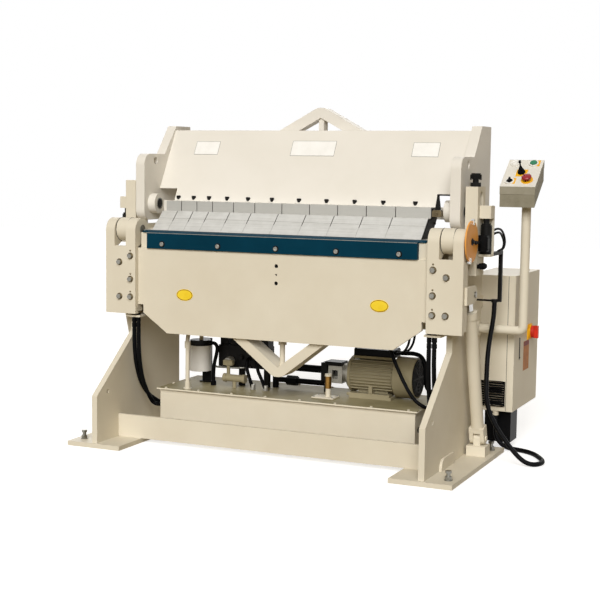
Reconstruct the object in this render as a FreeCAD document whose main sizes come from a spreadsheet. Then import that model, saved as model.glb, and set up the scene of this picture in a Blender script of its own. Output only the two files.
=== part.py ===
import FreeCAD, Part
import math
import os

import Sketcher
from FreeCAD import Placement, Rotation, Vector

# Hydraulic box and pan brake, all sizes in millimetres.
# X runs along the bend line, Y from the operator's side to the rear, Z up.
# The origin is on the floor, at the centre of the four floor anchor holes.

doc = FreeCAD.newDocument("pan_brake")
sheet = doc.addObject("Spreadsheet::Sheet", "Sizes")

# Sizes: name, value or what it follows from, meaning
SIZES = [
    ("foot_in", "side_in - 115.1", "inner end of a foot plate along X"),
    ("foot_out", "side_in + 138.6", "outer end of a foot plate along X"),
    ("foot_half", 364.5, "half length of a foot plate along Y"),
    ("foot_thick", 19, "foot plate thickness"),
    ("anchor_x", "side_in + 101.5", "floor anchor hole along X"),
    ("anchor_y", 293, "floor anchor hole along Y"),
    ("anchor_hole", 11, "floor anchor hole radius"),
    ("anchor_stud", 8, "floor anchor stud radius"),
    ("side_in", "insert_half + 102.9", "inner face of a side plate"),
    ("side_thick", 25, "side plate thickness"),
    ("side_front", -351, "front edge of a side plate at the foot"),
    ("side_knee", 219, "height where the front edge starts to slope"),
    ("side_shoulder_y", -39, "front edge of a side plate above the slope"),
    ("side_shoulder_z", 467, "height where the slope ends"),
    ("side_rear", 349, "rear edge of a side plate"),
    ("side_top", "pivot_z + 19", "top of a side plate"),
    ("pivot_y", -75, "bend line along Y"),
    ("pivot_z", 911, "bend line height"),
    ("pin_rad", 20, "apron pivot pin radius"),
    ("hub_rad", 50, "hub radius on a side plate"),
    ("hub_in", "side_in - 7.5", "inner face of a hub"),
    ("hub_out", "side_in + 47.5", "outer face of a hub"),
    ("rail_front", -182, "front face of the front rail"),
    ("rail_thick", 16, "rail thickness"),
    ("rail_top", 117, "top of a rail"),
    ("rear_rail_front", 316, "front face of the rear rail"),
    ("bed_front", 20, "front face of the bed box"),
    ("bed_rear", 220, "rear face of the bed box"),
    ("bed_base", "pivot_z - 366", "underside of the bed box"),
    ("bed_wall", 16, "bed box wall"),
    ("bed_half", "side_in - 62.5", "half length of the bed nose"),
    ("nose_rear", -35, "rear face of the nose bar"),
    ("upright_in", "side_in + 42.5", "inner face of an upright"),
    ("upright_out", "upright_in + 50.5", "outer face of an upright"),
    ("upright_front", 30, "front face of an upright"),
    ("upright_rear", 134, "rear face of an upright"),
    ("upright_base", "pivot_z - 141", "underside of an upright"),
    ("upright_top", "pivot_z + 210", "top of an upright"),
    ("lift", 60, "clamp beam travel"),
    ("shaft_y", 80, "clamp shaft along Y"),
    ("shaft_z", "pivot_z + 109", "clamp shaft height with the beam down"),
    ("shaft_rad", 22.5, "clamp shaft radius"),
    ("block_side", 46, "trunnion block side along X and Y"),
    ("clamp_rad", 22, "clamp cylinder radius"),
    ("clamp_top", "pivot_z + 59", "top of a clamp cylinder"),
    ("clamp_base", "pivot_z - 56", "underside of a clamp cylinder"),
    ("clamp_rod", 12, "clamp rod radius"),
    ("ear_in", "side_in - 14.8", "inner face of a beam ear"),
    ("ear_thick", 43, "beam ear thickness"),
    ("ear_front", 9, "front edge of a beam ear"),
    ("ear_base", "pivot_z + 37", "underside of a beam ear"),
    ("ear_step", "pivot_z + 327", "height of the lower step of a beam ear"),
    ("ear_top", "pivot_z + 454", "top of a beam ear"),
    ("ear_slope_y", 187, "start of the slope of a beam ear"),
    ("ear_top_y", 290, "end of the slope of a beam ear"),
    ("ear_rear", 420, "rear edge of a beam ear"),
    ("ear_hole", 16, "lifting pin hole radius in a beam ear"),
    ("beam_seat", 114.3, "front face of the beam where the fingers bear"),
    ("beam_base", "pivot_z + 74", "underside of the beam"),
    ("beam_plate", 20, "beam bottom plate thickness"),
    ("beam_lean_y", 285, "front plate upper edge along Y"),
    ("beam_top", "pivot_z + 435", "front plate upper edge height"),
    ("beam_skin", 14, "front plate thickness along Y"),
    ("beam_rear", 395, "rear edge of the beam bottom plate"),
    ("notch_in", "ear_in - 90", "inner end of the front plate end notch"),
    ("notch_top", "pivot_z + 175", "top of the front plate end notch"),
    ("finger_gap", 0.8, "gap between two fingers"),
    ("finger_relief", 1.3, "how far a finger's body stands back from its nose on each side"),
    ("finger_inch", 25.4, "finger width unit"),
    ("finger_sole", "pivot_z + 0.4", "finger sole height"),
    ("finger_top", "pivot_z + 123", "finger top height"),
    ("truss_front", 330, "front face of the beam truss"),
    ("truss_deep", 60, "beam truss depth along Y"),
    ("truss_peak", "pivot_z + 535", "beam truss peak height"),
    ("truss_end_z", "pivot_z + 164", "beam truss height at the ears"),
    ("truss_bar", 44, "beam truss bar height"),
    ("apron_front", "pivot_y - 35", "front face of the apron plate"),
    ("apron_thick", 20, "apron plate thickness"),
    ("apron_half", "side_in - 55.5", "half length of the apron plate"),
    ("apron_step", "apron_half - 25.5", "half length of the apron plate below the notch"),
    ("apron_notch_z", "pivot_z - 321", "height of the apron notch"),
    ("apron_corner_z", "pivot_z - 355.7", "height where the lower corner slope starts"),
    ("apron_low_half", "side_in - 198.5", "half length of the apron lower edge"),
    ("apron_low_z", "pivot_z - 439.5", "apron lower edge height"),
    ("apron_top_z", "pivot_z - 76.8", "top of the apron front face"),
    ("bar_end", "side_in + 91.5", "outer face of a bearing block"),
    ("bar_base", "pivot_z - 351", "underside of the apron end bar"),
    ("bar_top", "pivot_z - 76", "top of the apron end bar"),
    ("bar_thick", 35, "apron end bar thickness"),
    ("vee_deep", 98, "apron truss depth along Y"),
    ("vee_low", "pivot_z - 591", "apron truss apex height"),
    ("vee_half", "side_in - 161.5", "half length of the apron truss"),
    ("vee_end_z", "pivot_z - 176", "apron truss height at its ends"),
    ("vee_bar", 39, "apron truss bar height"),
    ("insert_half", "finger_inch * 24", "half length of the insert bar"),
    ("insert_front", "apron_front - 8", "front face of the insert bar"),
    ("block_front", "apron_front - 25", "front face of a bearing block"),
    ("block_base", "pivot_z - 361.3", "underside of a bearing block"),
    ("lug_rad", 49, "rear radius of a bearing lug"),
    ("lug_top", 49, "lug height above the bend line"),
    ("slot_base", "pivot_z - 68", "bottom of the hub slot in a bearing block"),
    ("bend_x", "side_in + 76.5", "bending cylinder centre along X"),
    ("base_pin_y", 184, "bending cylinder base pin along Y"),
    ("base_pin_z", 90, "bending cylinder base pin height"),
    ("eye_pin_y", "pivot_y + 69", "rod eye along Y"),
    ("eye_pin_z", "pivot_z - 211", "rod eye height"),
    ("tube_rad", 26, "bending cylinder outer radius"),
    ("bore_rad", 20, "bending cylinder bore radius"),
    ("rod_rad", 14, "bending rod radius"),
    ("tube_len", 564, "base pin to the gland end"),
    ("eye_rad", 22, "rod eye radius"),
    ("eye_thick", 29, "rod eye thickness"),
    ("fit_gap", 0.05, "running clearance on the radius"),
    ("disk_rad", 81, "angle disk radius"),
    ("disk_in", "bar_end + 8", "inner face of the angle disk"),
    ("disk_thick", 6, "angle disk thickness"),
    ("tank_half", "side_in - 123.5", "half length of the oil tank"),
    ("tank_front", -36, "front face of the oil tank"),
    ("tank_rear", 315, "rear face of the oil tank"),
    ("tank_base", 30, "underside of the oil tank"),
    ("tank_high", 184, "oil tank height"),
    ("tank_top", "tank_base + tank_high", "top of the oil tank walls"),
    ("tank_wall", 5, "oil tank wall"),
    ("lid_over", 12, "lid overhang"),
    ("lid_thick", 6, "lid thickness"),
    ("motor_y", "tank_rear - 105", "motor axis along Y"),
    ("motor_z", "tank_top + 98", "motor axis height"),
    ("motor_start", "tank_half - 367", "drive end of the motor body"),
    ("motor_end", "motor_start + 206", "fan end of the motor body"),
    ("motor_rad", 72, "motor body radius below the fins"),
    ("fin_rad", "motor_rad + 8", "motor fin radius"),
    ("cowl_rad", "fin_rad + 7", "fan cowl radius"),
    ("cowl_end", "motor_end + 87", "outer end of the fan cowl"),
    ("motor_shaft", 14, "motor shaft radius"),
    ("cab_in", "side_in - 35.5", "inner face of the cabinet"),
    ("cab_door", "cab_in + 175", "door seam of the cabinet"),
    ("cab_out", "cab_door + 25", "outer face of the cabinet door"),
    ("cab_front", "side_rear + 31", "front face of the cabinet"),
    ("cab_rear", "cab_front + 405", "rear face of the cabinet"),
    ("cab_base", 170, "underside of the cabinet"),
    ("cab_top", "cab_base + 577", "top of the cabinet"),
    ("cab_wall", 2, "cabinet wall"),
    ("isolator_y", "cab_front + 245", "isolator along Y"),
    ("isolator_z", "cab_base + 317", "isolator height"),
    ("pole_x", "side_in + 215.5", "pendant pole along X"),
    ("pole_y", 315, "pendant pole along Y"),
    ("pole_z", 527, "pendant arm height"),
    ("pole_rad", 19, "pendant pole radius"),
    ("pend_in", "pole_x - 93.3", "inner face of the pendant box"),
    ("pend_wide", 144, "pendant box width"),
    ("pend_front", 240, "front face of the pendant box"),
    ("pend_deep", 142, "pendant box depth"),
    ("pend_base", "pivot_z + 127", "lower front edge of the pendant box"),
    ("pend_face", 84, "pendant front face height"),
    ("pend_rise", 107, "rise of the pendant top from front to rear"),
    ("pend_lid", 32, "pendant lid height"),
    ("conduit_rad", 10, "signal conduit radius"),
    ("hose_rad", 9, "hydraulic hose radius"),
    ("hose_x", "side_in - 29.5", "side hose and its bracket hole along X"),
]
ALIASES = {name for name, value, meaning in SIZES}
for row, (name, value, meaning) in enumerate(SIZES, start=1):
    sheet.set(f"A{row}", name)
    sheet.set(f"B{row}", f"={value}" if isinstance(value, str) else str(value))
    sheet.set(f"C{row}", meaning)
    sheet.setAlias(f"B{row}", name)
doc.recompute()


class Size:
    """A length or angle that knows its number and the sheet expression behind it."""

    def __init__(self, value, text=None):
        self.value = float(value)
        self.text = text if text is not None else f"{float(value):.6g}"

    def __add__(self, other):
        other = size(other)
        return Size(self.value + other.value, f"({self.text} + {other.text})")

    def __sub__(self, other):
        other = size(other)
        return Size(self.value - other.value, f"({self.text} - ({other.text}))")

    def __mul__(self, other):
        other = size(other)
        return Size(self.value * other.value, f"({self.text} * ({other.text}))")

    def __truediv__(self, other):
        other = size(other)
        return Size(self.value / other.value, f"({self.text} / ({other.text}))")

    def __radd__(self, other):
        return size(other) + self

    def __rsub__(self, other):
        return size(other) - self

    def __rmul__(self, other):
        return size(other) * self

    def __neg__(self):
        return Size(-self.value, f"(0 - {self.text})")


def size(value):
    """Return a plain number or a Size as a Size."""
    return value if isinstance(value, Size) else Size(value)


class Names:
    """The sheet's sizes as attributes, such as s.pivot_y."""

    def __init__(self, table):
        for name, value, meaning in table:
            setattr(self, name, Size(sheet.get(name), f"Sizes.{name}"))


s = Names(SIZES)
NODES = []
counter = {"n": 0}


def fresh(stem):
    """Return an unused internal object name."""
    counter["n"] += 1
    return f"{stem}_{counter['n']}"


def bind(obj, prop, value):
    """Bind one property to a size's expression."""
    value = size(value)
    obj.setExpression(prop, value.text)


def place(obj, x=0, y=0, z=0):
    """Bind the position of an object."""
    for letter, value in zip("xyz", (x, y, z)):
        bind(obj, f"Placement.Base.{letter}", value)
    return obj


def span(side, near, far):
    """Return the low and high X of a pair mirrored to one side."""
    if side > 0:
        return size(near), size(far)
    return -size(far), -size(near)


def box(xs, ys, zs):
    """Make a box from its low and high values on each axis."""
    obj = doc.addObject("Part::Box", fresh("box"))
    for prop, (low, high) in zip(("Length", "Width", "Height"), (xs, ys, zs)):
        bind(obj, prop, size(high) - low)
    return place(obj, xs[0], ys[0], zs[0])


AXIS_TURN = {
    "x": Rotation(Vector(0, 1, 0), 90),
    "y": Rotation(Vector(1, 0, 0), -90),
    "z": Rotation(),
}


def rod(axis, centre, ends, radius):
    """Make a cylinder along an axis; centre holds its two other coordinates in order."""
    obj = doc.addObject("Part::Cylinder", fresh("rod"))
    bind(obj, "Radius", radius)
    low, high = size(ends[0]), size(ends[1])
    bind(obj, "Height", high - low)
    return set_axis(obj, axis, centre, low)


def cone(axis, centre, ends, radii):
    """Make a cone along an axis from the first radius to the second."""
    obj = doc.addObject("Part::Cone", fresh("cone"))
    bind(obj, "Radius1", radii[0])
    bind(obj, "Radius2", radii[1])
    low, high = size(ends[0]), size(ends[1])
    bind(obj, "Height", high - low)
    return set_axis(obj, axis, centre, low)


def ball(centre, radius):
    """Make a sphere."""
    obj = doc.addObject("Part::Sphere", fresh("ball"))
    bind(obj, "Radius", radius)
    return place(obj, *centre)


def hexagon(axis, centre, ends, across):
    """Make a six-sided prism; across is its distance over corners."""
    obj = doc.addObject("Part::Prism", fresh("hex"))
    obj.Polygon = 6
    bind(obj, "Circumradius", size(across) / 2)
    low, high = size(ends[0]), size(ends[1])
    bind(obj, "Height", high - low)
    return set_axis(obj, axis, centre, low)


def set_axis(obj, axis, centre, start):
    """Turn an upright primitive to an axis and bind its start."""
    obj.Placement = Placement(Vector(), AXIS_TURN[axis])
    first, second = centre
    spots = {"x": (start, first, second), "y": (first, start, second), "z": (first, second, start)}
    return place(obj, *spots[axis])


def fuse(*parts):
    """Join overlapping or touching shapes into one solid."""
    obj = doc.addObject("Part::MultiFuse", fresh("fuse"))
    obj.Shapes = list(parts)
    obj.Refine = True
    return obj


def cut(base, *tools):
    """Remove shapes from a base."""
    obj = doc.addObject("Part::Cut", fresh("cut"))
    obj.Base = base
    obj.Tool = tools[0] if len(tools) == 1 else fuse(*tools)
    obj.Refine = True
    return obj


def group(*parts):
    """Keep several separate solids together as one object."""
    obj = doc.addObject("Part::Compound", fresh("group"))
    obj.Links = list(parts)
    return obj


def node(label, obj):
    """Name a finished sub-part."""
    obj.Label = label
    NODES.append((label, obj))
    return obj


PLANES = {"XY": "XY_Plane", "XZ": "XZ_Plane", "YZ": "YZ_Plane"}


def plate(plane, points, start, end, rounds=()):
    """Pad a straight-sided outline between two places along its plane's normal.

    rounds holds pairs of outline point number and radius for the rounded corners.
    """
    body = doc.addObject("PartDesign::Body", fresh("body"))
    sketch = body.newObject("Sketcher::SketchObject", fresh("outline"))
    origin = [f for f in body.Origin.OriginFeatures if f.Role == PLANES[plane]][0]
    sketch.AttachmentSupport = (origin, [""])
    sketch.MapMode = "FlatFace"
    start, end = size(start), size(end)
    bind(sketch, "AttachmentOffset.Base.z", -end if plane == "XZ" else start)
    points = [(size(u), size(v)) for u, v in points]
    count = len(points)
    spots = [Vector(u.value, v.value, 0) for u, v in points]
    sketch.addGeometry([Part.LineSegment(spots[i], spots[(i + 1) % count]) for i in range(count)])
    rules = [Sketcher.Constraint("Coincident", i, 2, (i + 1) % count, 1) for i in range(count)]
    bound = []
    for i, (u, v) in enumerate(points):
        for kind, value in (("DistanceX", u), ("DistanceY", v)):
            if abs(value.value) < 1e-9:
                rules.append(Sketcher.Constraint("PointOnObject", i, 1, -2 if kind == "DistanceX" else -1))
            else:
                rules.append(Sketcher.Constraint(kind, -1, 1, i, 1, value.value))
                bound.append((len(rules) - 1, value))
    sketch.addConstraint(rules)
    for index, value in bound:
        if "Sizes." in value.text:
            sketch.setExpression(f"Constraints[{index}]", value.text)
    pad = body.newObject("PartDesign::Pad", fresh("pad"))
    pad.Profile = sketch
    bind(pad, "Length", end - start)
    if rounds:
        doc.recompute()
        last = pad
        for number, radius in rounds:
            u, v = points[number]
            name = edge_at(last, plane, u.value, v.value)
            fillet = body.newObject("PartDesign::Fillet", fresh("fillet"))
            fillet.Base = (last, [name])
            bind(fillet, "Radius", radius)
            doc.recompute()
            last = fillet
        body.Tip = last
    return body


def edge_at(feature, plane, u, v):
    """Find the straight edge that stands on an outline point."""
    picks = {"XY": (0, 1, 2), "XZ": (0, 2, 1), "YZ": (1, 2, 0)}[plane]
    for number, edge in enumerate(feature.Shape.Edges, start=1):
        ends = [vertex.Point for vertex in edge.Vertexes]
        if len(ends) != 2:
            continue
        near = all(abs(p[picks[0]] - u) < 0.01 and abs(p[picks[1]] - v) < 0.01 for p in ends)
        if near and abs(ends[0][picks[2]] - ends[1][picks[2]]) > 0.1:
            return f"Edge{number}"
    raise ValueError(f"no edge at {u}, {v}")


def turned(obj, axis, angle, x=0, y=0, z=0):
    """Turn a finished shape about an axis through its own origin, then move it."""
    if obj.TypeId in ("Part::Box", "Part::Cylinder", "Part::Cone", "Part::Prism"):
        obj = group(obj)
    obj.Placement = Placement(Vector(), Rotation(axis, 1))
    bind(obj, "Placement.Rotation.Angle", angle)
    return place(obj, x, y, z)


def arc_path(points):
    """Join the points of a route by straight runs and tangent arcs.

    Returns the wire and the arcs' radii; each radius is 0.45 of the shorter run beside
    the point, divided by the tangent of half the turn.
    """
    spots = [Vector(*[size(c).value for c in p]) for p in points]
    edges = []
    radii = []
    last = spots[0]
    for before, here, after in zip(spots, spots[1:], spots[2:]):
        inward = (here - before).normalize()
        outward = (after - here).normalize()
        turn = inward.getAngle(outward)
        reach = 0.45 * min((here - before).Length, (after - here).Length)
        radius = reach / math.tan(turn / 2)
        radii.append(radius)
        start = here - inward * reach
        end = here + outward * reach
        bisector = (outward - inward).normalize()
        centre = here + bisector * (radius / math.cos(turn / 2))
        middle = centre - bisector * radius
        edges.append(Part.LineSegment(last, start).toShape())
        edges.append(Part.Arc(start, middle, end).toShape())
        last = end
    edges.append(Part.LineSegment(last, spots[-1]).toShape())
    return Part.Wire(edges), radii


def tube(label, points, radius):
    """Sweep a round section along a route of runs and tangent arcs."""
    wire, radii = arc_path(points)
    start = wire.Vertexes[0].Point
    heading = wire.Edges[0].tangentAt(wire.Edges[0].FirstParameter)
    radius = size(radius).value
    ring = Part.Wire([Part.Circle(start, heading, radius).toShape()])
    shape = wire.makePipeShell([ring], True, False)
    share = shape.Volume / (math.pi * radius * radius * wire.Length)
    print(f"{label}: length {wire.Length:.0f}, least radius {min(radii):.0f}, volume share {share:.4f}")
    obj = doc.addObject("Part::Feature", fresh(label))
    obj.Shape = shape
    return obj


def route(side, points):
    """Mirror a route's points to one side."""
    return [(side * size(x), y, z) for x, y, z in points]


SIDES = (("left", -1), ("right", 1))


# Side frames, each a plate welded to its foot, with the apron hub and the hose bracket
def side_frame(name, side):
    xs = span(side, s.side_in, s.side_in + s.side_thick)
    outline = [
        (s.side_front, s.foot_thick),
        (s.side_front, s.side_knee),
        (s.side_shoulder_y, s.side_shoulder_z),
        (s.side_shoulder_y, s.pivot_z - s.hub_rad - 6),
        (s.pivot_y, s.pivot_z - s.hub_rad + 0.2),
        (s.pivot_y, s.pivot_z + s.hub_rad - 0.2),
        (s.pivot_y + 34, s.pivot_z + s.hub_rad - 10),
        (s.pivot_y + 58, s.side_top),
        (s.side_rear, s.side_top),
        (s.side_rear, s.foot_thick),
    ]
    web = plate("YZ", outline, *xs)
    hub = rod("x", (s.pivot_y, s.pivot_z), span(side, s.hub_in, s.hub_out), s.hub_rad)
    foot = plate(
        "XY",
        [
            (span(side, s.foot_in, s.foot_out)[0], -s.foot_half),
            (span(side, s.foot_in, s.foot_out)[1], -s.foot_half),
            (span(side, s.foot_in, s.foot_out)[1], s.foot_half),
            (span(side, s.foot_in, s.foot_out)[0], s.foot_half),
        ],
        0,
        s.foot_thick,
    )
    gusset = plate(
        "YZ",
        [
            (-170, s.foot_thick),
            (-170, s.foot_thick + 46),
            (-10, s.foot_thick + 46),
            (-10, s.foot_thick),
        ],
        *span(side, s.side_in + s.side_thick, s.side_in + s.side_thick + 10),
        rounds=((1, 40),),
    )
    bracket = box(
        span(side, s.side_in - 68.5, s.side_in),
        (s.apron_front - 8, s.side_shoulder_y + 60),
        (s.block_base - 16, s.block_base - 8),
    )
    solids = [web, hub, foot, gusset, bracket]
    if side > 0:
        for height in (s.cab_base + 110, s.cab_top - 110):
            solids.append(box(xs, (s.side_rear, s.cab_front), (height - 25, height + 25)))
    tools = [rod("x", (s.pivot_y, s.pivot_z), span(side, s.hub_in - 1, s.hub_out + 1), s.pin_rad + s.fit_gap)]
    for sign in (-1, 1):
        spot = (side * s.anchor_x, sign * s.anchor_y)
        tools.append(rod("z", spot, (-1, s.foot_thick + 1), s.anchor_hole))
    tools.append(rod("x", (-266, 228), (xs[0] - 1, xs[1] + 1), 9))
    for x in (s.hose_x, s.hose_x - 22):
        tools.append(rod("z", (side * x, s.apron_front + 10), (s.block_base - 17, s.block_base - 7), 9))
    node(f"{name}_side_frame", cut(fuse(*solids), *tools))


# Front and rear rails between the side plates
def rails():
    ends = (-s.side_in, s.side_in)
    heights = (s.foot_thick, s.rail_top)
    front = box(ends, (s.rail_front, s.rail_front + s.rail_thick), heights)
    rear = box(ends, (s.rear_rail_front, s.rear_rail_front + s.rail_thick), heights)
    node("base_rails", group(front, rear))


# Bed: a box beam between the side plates, with a wedge that carries the nose bar
def bed():
    ends = (-s.side_in, s.side_in)
    outer = box(ends, (s.bed_front, s.bed_rear), (s.bed_base, s.pivot_z))
    inner = box(
        (ends[0] - 1, ends[1] + 1),
        (s.bed_front + s.bed_wall, s.bed_rear - s.bed_wall),
        (s.bed_base + s.bed_wall, s.pivot_z - s.bed_wall),
    )
    wedge = plate(
        "YZ",
        [
            (s.nose_rear, s.pivot_z),
            (s.nose_rear, s.pivot_z - 46),
            (s.bed_front + 2, s.pivot_z - 111),
            (s.bed_front + 2, s.pivot_z),
        ],
        -s.bed_half,
        s.bed_half,
    )
    node("bed_beam", fuse(cut(outer, inner), wedge))
    nose = plate(
        "YZ",
        [
            (s.pivot_y + 0.6, s.pivot_z),
            (s.pivot_y + 0.6, s.pivot_z - 9),
            (s.pivot_y + 22, s.pivot_z - 42),
            (s.nose_rear, s.pivot_z - 42),
            (s.nose_rear, s.pivot_z),
        ],
        -s.bed_half,
        s.bed_half,
    )
    node("bed_nose_bar", nose)


# Uprights beside the ears, slotted for the clamp shafts, with the clamp cylinder bracket
def upright(name, side):
    post = box(
        span(side, s.upright_in, s.upright_out),
        (s.upright_front, s.upright_rear),
        (s.upright_base, s.upright_top),
    )
    pad = box(
        span(side, s.side_in + s.side_thick, s.upright_in),
        (s.upright_front, s.upright_rear),
        (s.upright_base, s.side_top),
    )
    reach = s.upright_out + s.block_side - 0.5
    plate_rear = box(span(side, s.upright_out, reach), (s.shaft_y + 26, s.shaft_y + 36), (s.clamp_base - 10, s.shaft_z + 25))
    shelf = box(span(side, s.upright_out, reach), (s.shaft_y - 24, s.shaft_y + 26), (s.clamp_base - 10, s.clamp_base))
    inside = span(side, s.upright_in - 1, s.upright_out + 1)
    clear = s.shaft_rad + 0.5
    slot = box(inside, (s.shaft_y - clear, s.shaft_y + clear), (s.shaft_z, s.shaft_z + s.lift))
    foot_end = rod("x", (s.shaft_y, s.shaft_z), inside, clear)
    head_end = rod("x", (s.shaft_y, s.shaft_z + s.lift), inside, clear)
    tools = [slot, foot_end, head_end]
    if side > 0:
        spot = (s.upright_in + 25, s.shaft_y)
        tools.append(rod("z", spot, (s.shaft_z + s.lift, s.upright_top + 1), 12.05))
    node(f"{name}_upright", cut(fuse(post, pad, plate_rear, shelf), *tools))


def clamp_hardware():
    """Clamp cylinders, their rods and trunnion blocks, the shafts and the travel screw."""
    bodies, rods, blocks = [], [], []
    for name, side in SIDES:
        centre = (side * (s.upright_out + s.block_side / 2), s.shaft_y)
        barrel = rod("z", centre, (s.clamp_base, s.clamp_top), s.clamp_rad)
        gland = rod("z", centre, (s.clamp_top, s.clamp_top + 6), s.clamp_rod + 6)
        bore = rod("z", centre, (s.clamp_base + 8, s.clamp_top + 7), s.clamp_rod + s.fit_gap)
        bodies.append(cut(fuse(barrel, gland), bore))
        rods.append(rod("z", centre, (s.clamp_base + 30, s.shaft_z - 24), s.clamp_rod))
        block = box(
            span(side, s.upright_out + 0.5, s.upright_out + 0.5 + s.block_side),
            (s.shaft_y - s.block_side / 2, s.shaft_y + s.block_side / 2),
            (s.shaft_z - 24, s.shaft_z + 27),
        )
        shaft_ends = span(side, s.ear_in - 33.7, s.upright_out + 20)
        seat = rod("x", (s.shaft_y, s.shaft_z), span(side, s.upright_out, s.upright_out + 20), s.shaft_rad)
        blocks.append(cut(block, seat))
        rods.append(rod("x", (s.shaft_y, s.shaft_z), shaft_ends, s.shaft_rad))
    node("clamp_cylinders", group(*bodies))
    node("clamp_rods_and_shafts", group(*rods))
    node("trunnion_blocks", group(*blocks))
    spot = (s.upright_in + 25, s.shaft_y)
    thread = rod("z", spot, (s.shaft_z + s.lift + s.shaft_rad + 1, s.upright_top), 12)
    head = hexagon("z", spot, (s.upright_top, s.upright_top + 16), 44)
    neck = rod("z", spot, (s.upright_top + 16, s.upright_top + 30), 12)
    top = hexagon("z", spot, (s.upright_top + 30, s.upright_top + 53), 38)
    node("travel_screw", fuse(thread, head, neck, top))


# Floor anchors: stud, nut and washer in each foot plate hole
def floor_anchors():
    studs = []
    for side in (-1, 1):
        for sign in (-1, 1):
            spot = (side * s.anchor_x, sign * s.anchor_y)
            stud = rod("z", spot, (0, s.foot_thick + 38), s.anchor_stud)
            washer = rod("z", spot, (s.foot_thick, s.foot_thick + 3), 16)
            nut = hexagon("z", spot, (s.foot_thick + 3, s.foot_thick + 16), 28)
            head = hexagon("z", spot, (s.foot_thick + 29, s.foot_thick + 38), 26)
            studs.append(fuse(stud, washer, nut, head))
    node("floor_anchors", group(*studs))


# Upper beam: two ears joined by the leaning front plate, a top flange and a bottom plate
def upper_beam():
    lean = (s.beam_lean_y - s.beam_seat) / (s.beam_top - s.finger_top - 1)
    inner_z = s.beam_top - 12
    inner_y = s.beam_lean_y - lean * 12 + s.beam_skin
    section = [
        (s.beam_seat, s.beam_base),
        (s.beam_seat, s.finger_top + 1),
        (s.beam_lean_y, s.beam_top),
        (s.beam_lean_y + 37, s.beam_top),
        (s.beam_lean_y + 37, inner_z),
        (inner_y, inner_z),
        (s.beam_seat + s.beam_plate, s.finger_top + 1),
        (s.beam_seat + s.beam_plate, s.beam_base + s.beam_plate),
        (s.beam_rear, s.beam_base + s.beam_plate),
        (s.beam_rear, s.beam_base),
    ]
    skin = plate("YZ", section, -s.ear_in, s.ear_in)
    ears, bores, notches = [], [], []
    for side in (-1, 1):
        xs = span(side, s.ear_in, s.ear_in + s.ear_thick)
        outline = [
            (s.ear_front, s.ear_base),
            (s.ear_front, s.ear_step),
            (s.ear_slope_y, s.ear_step),
            (s.ear_top_y, s.ear_top),
            (s.ear_rear, s.ear_top),
            (s.ear_rear, s.ear_base),
        ]
        ears.append(plate("YZ", outline, *xs, rounds=((0, 45), (1, 50))))
        ears.append(rod("x", (s.shaft_y, s.shaft_z), span(side, s.ear_in - 35.7, s.ear_in), 44))
        through = span(side, s.ear_in - 36.7, s.ear_in + s.ear_thick + 1)
        bores.append(rod("x", (s.shaft_y, s.shaft_z), through, s.shaft_rad))
        bores.append(rod("x", (s.shaft_y + 26, s.ear_step - 30), (xs[0] - 1, xs[1] + 1), s.ear_hole))
        ends = span(side, s.notch_in, s.ear_in)
        notches.append(
            box(ends, (s.beam_seat - 10, s.beam_seat + 70), (s.finger_top, s.notch_top))
        )
        ends = span(side, s.ear_in - 36.7, s.ear_in)
        notches.append(
            box(ends, (s.shaft_y - 46, s.shaft_y + 46), (s.beam_base - 1, s.finger_top + 1))
        )
    node("upper_beam", fuse(cut(skin, *notches), cut(fuse(*ears), *bores)))


# Stiffening truss behind the front plate: an inverted V with a centre post
def beam_truss():
    depth = (s.truss_front, s.truss_front + s.truss_deep)
    bars = plate(
        "XZ",
        [
            (-s.ear_in, s.truss_end_z),
            (-16, s.truss_peak),
            (16, s.truss_peak),
            (s.ear_in, s.truss_end_z),
            (s.ear_in, s.truss_end_z - s.truss_bar),
            (0, s.truss_peak - s.truss_bar),
            (-s.ear_in, s.truss_end_z - s.truss_bar),
        ],
        *depth,
        rounds=((1, 60), (2, 60)),
    )
    post = box(
        (-12, 12),
        (s.truss_front + 8, s.truss_front + s.truss_deep - 8),
        (s.beam_base + s.beam_plate, s.truss_peak - s.truss_bar + 8),
    )
    node("beam_truss", fuse(bars, post))


# Eleven clamping fingers, 3 to 6 inches wide, and the clamping wedge of each
FINGER_WIDTHS = (3, 3, 3, 4, 4, 5, 5, 5, 5, 5, 6)


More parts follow.
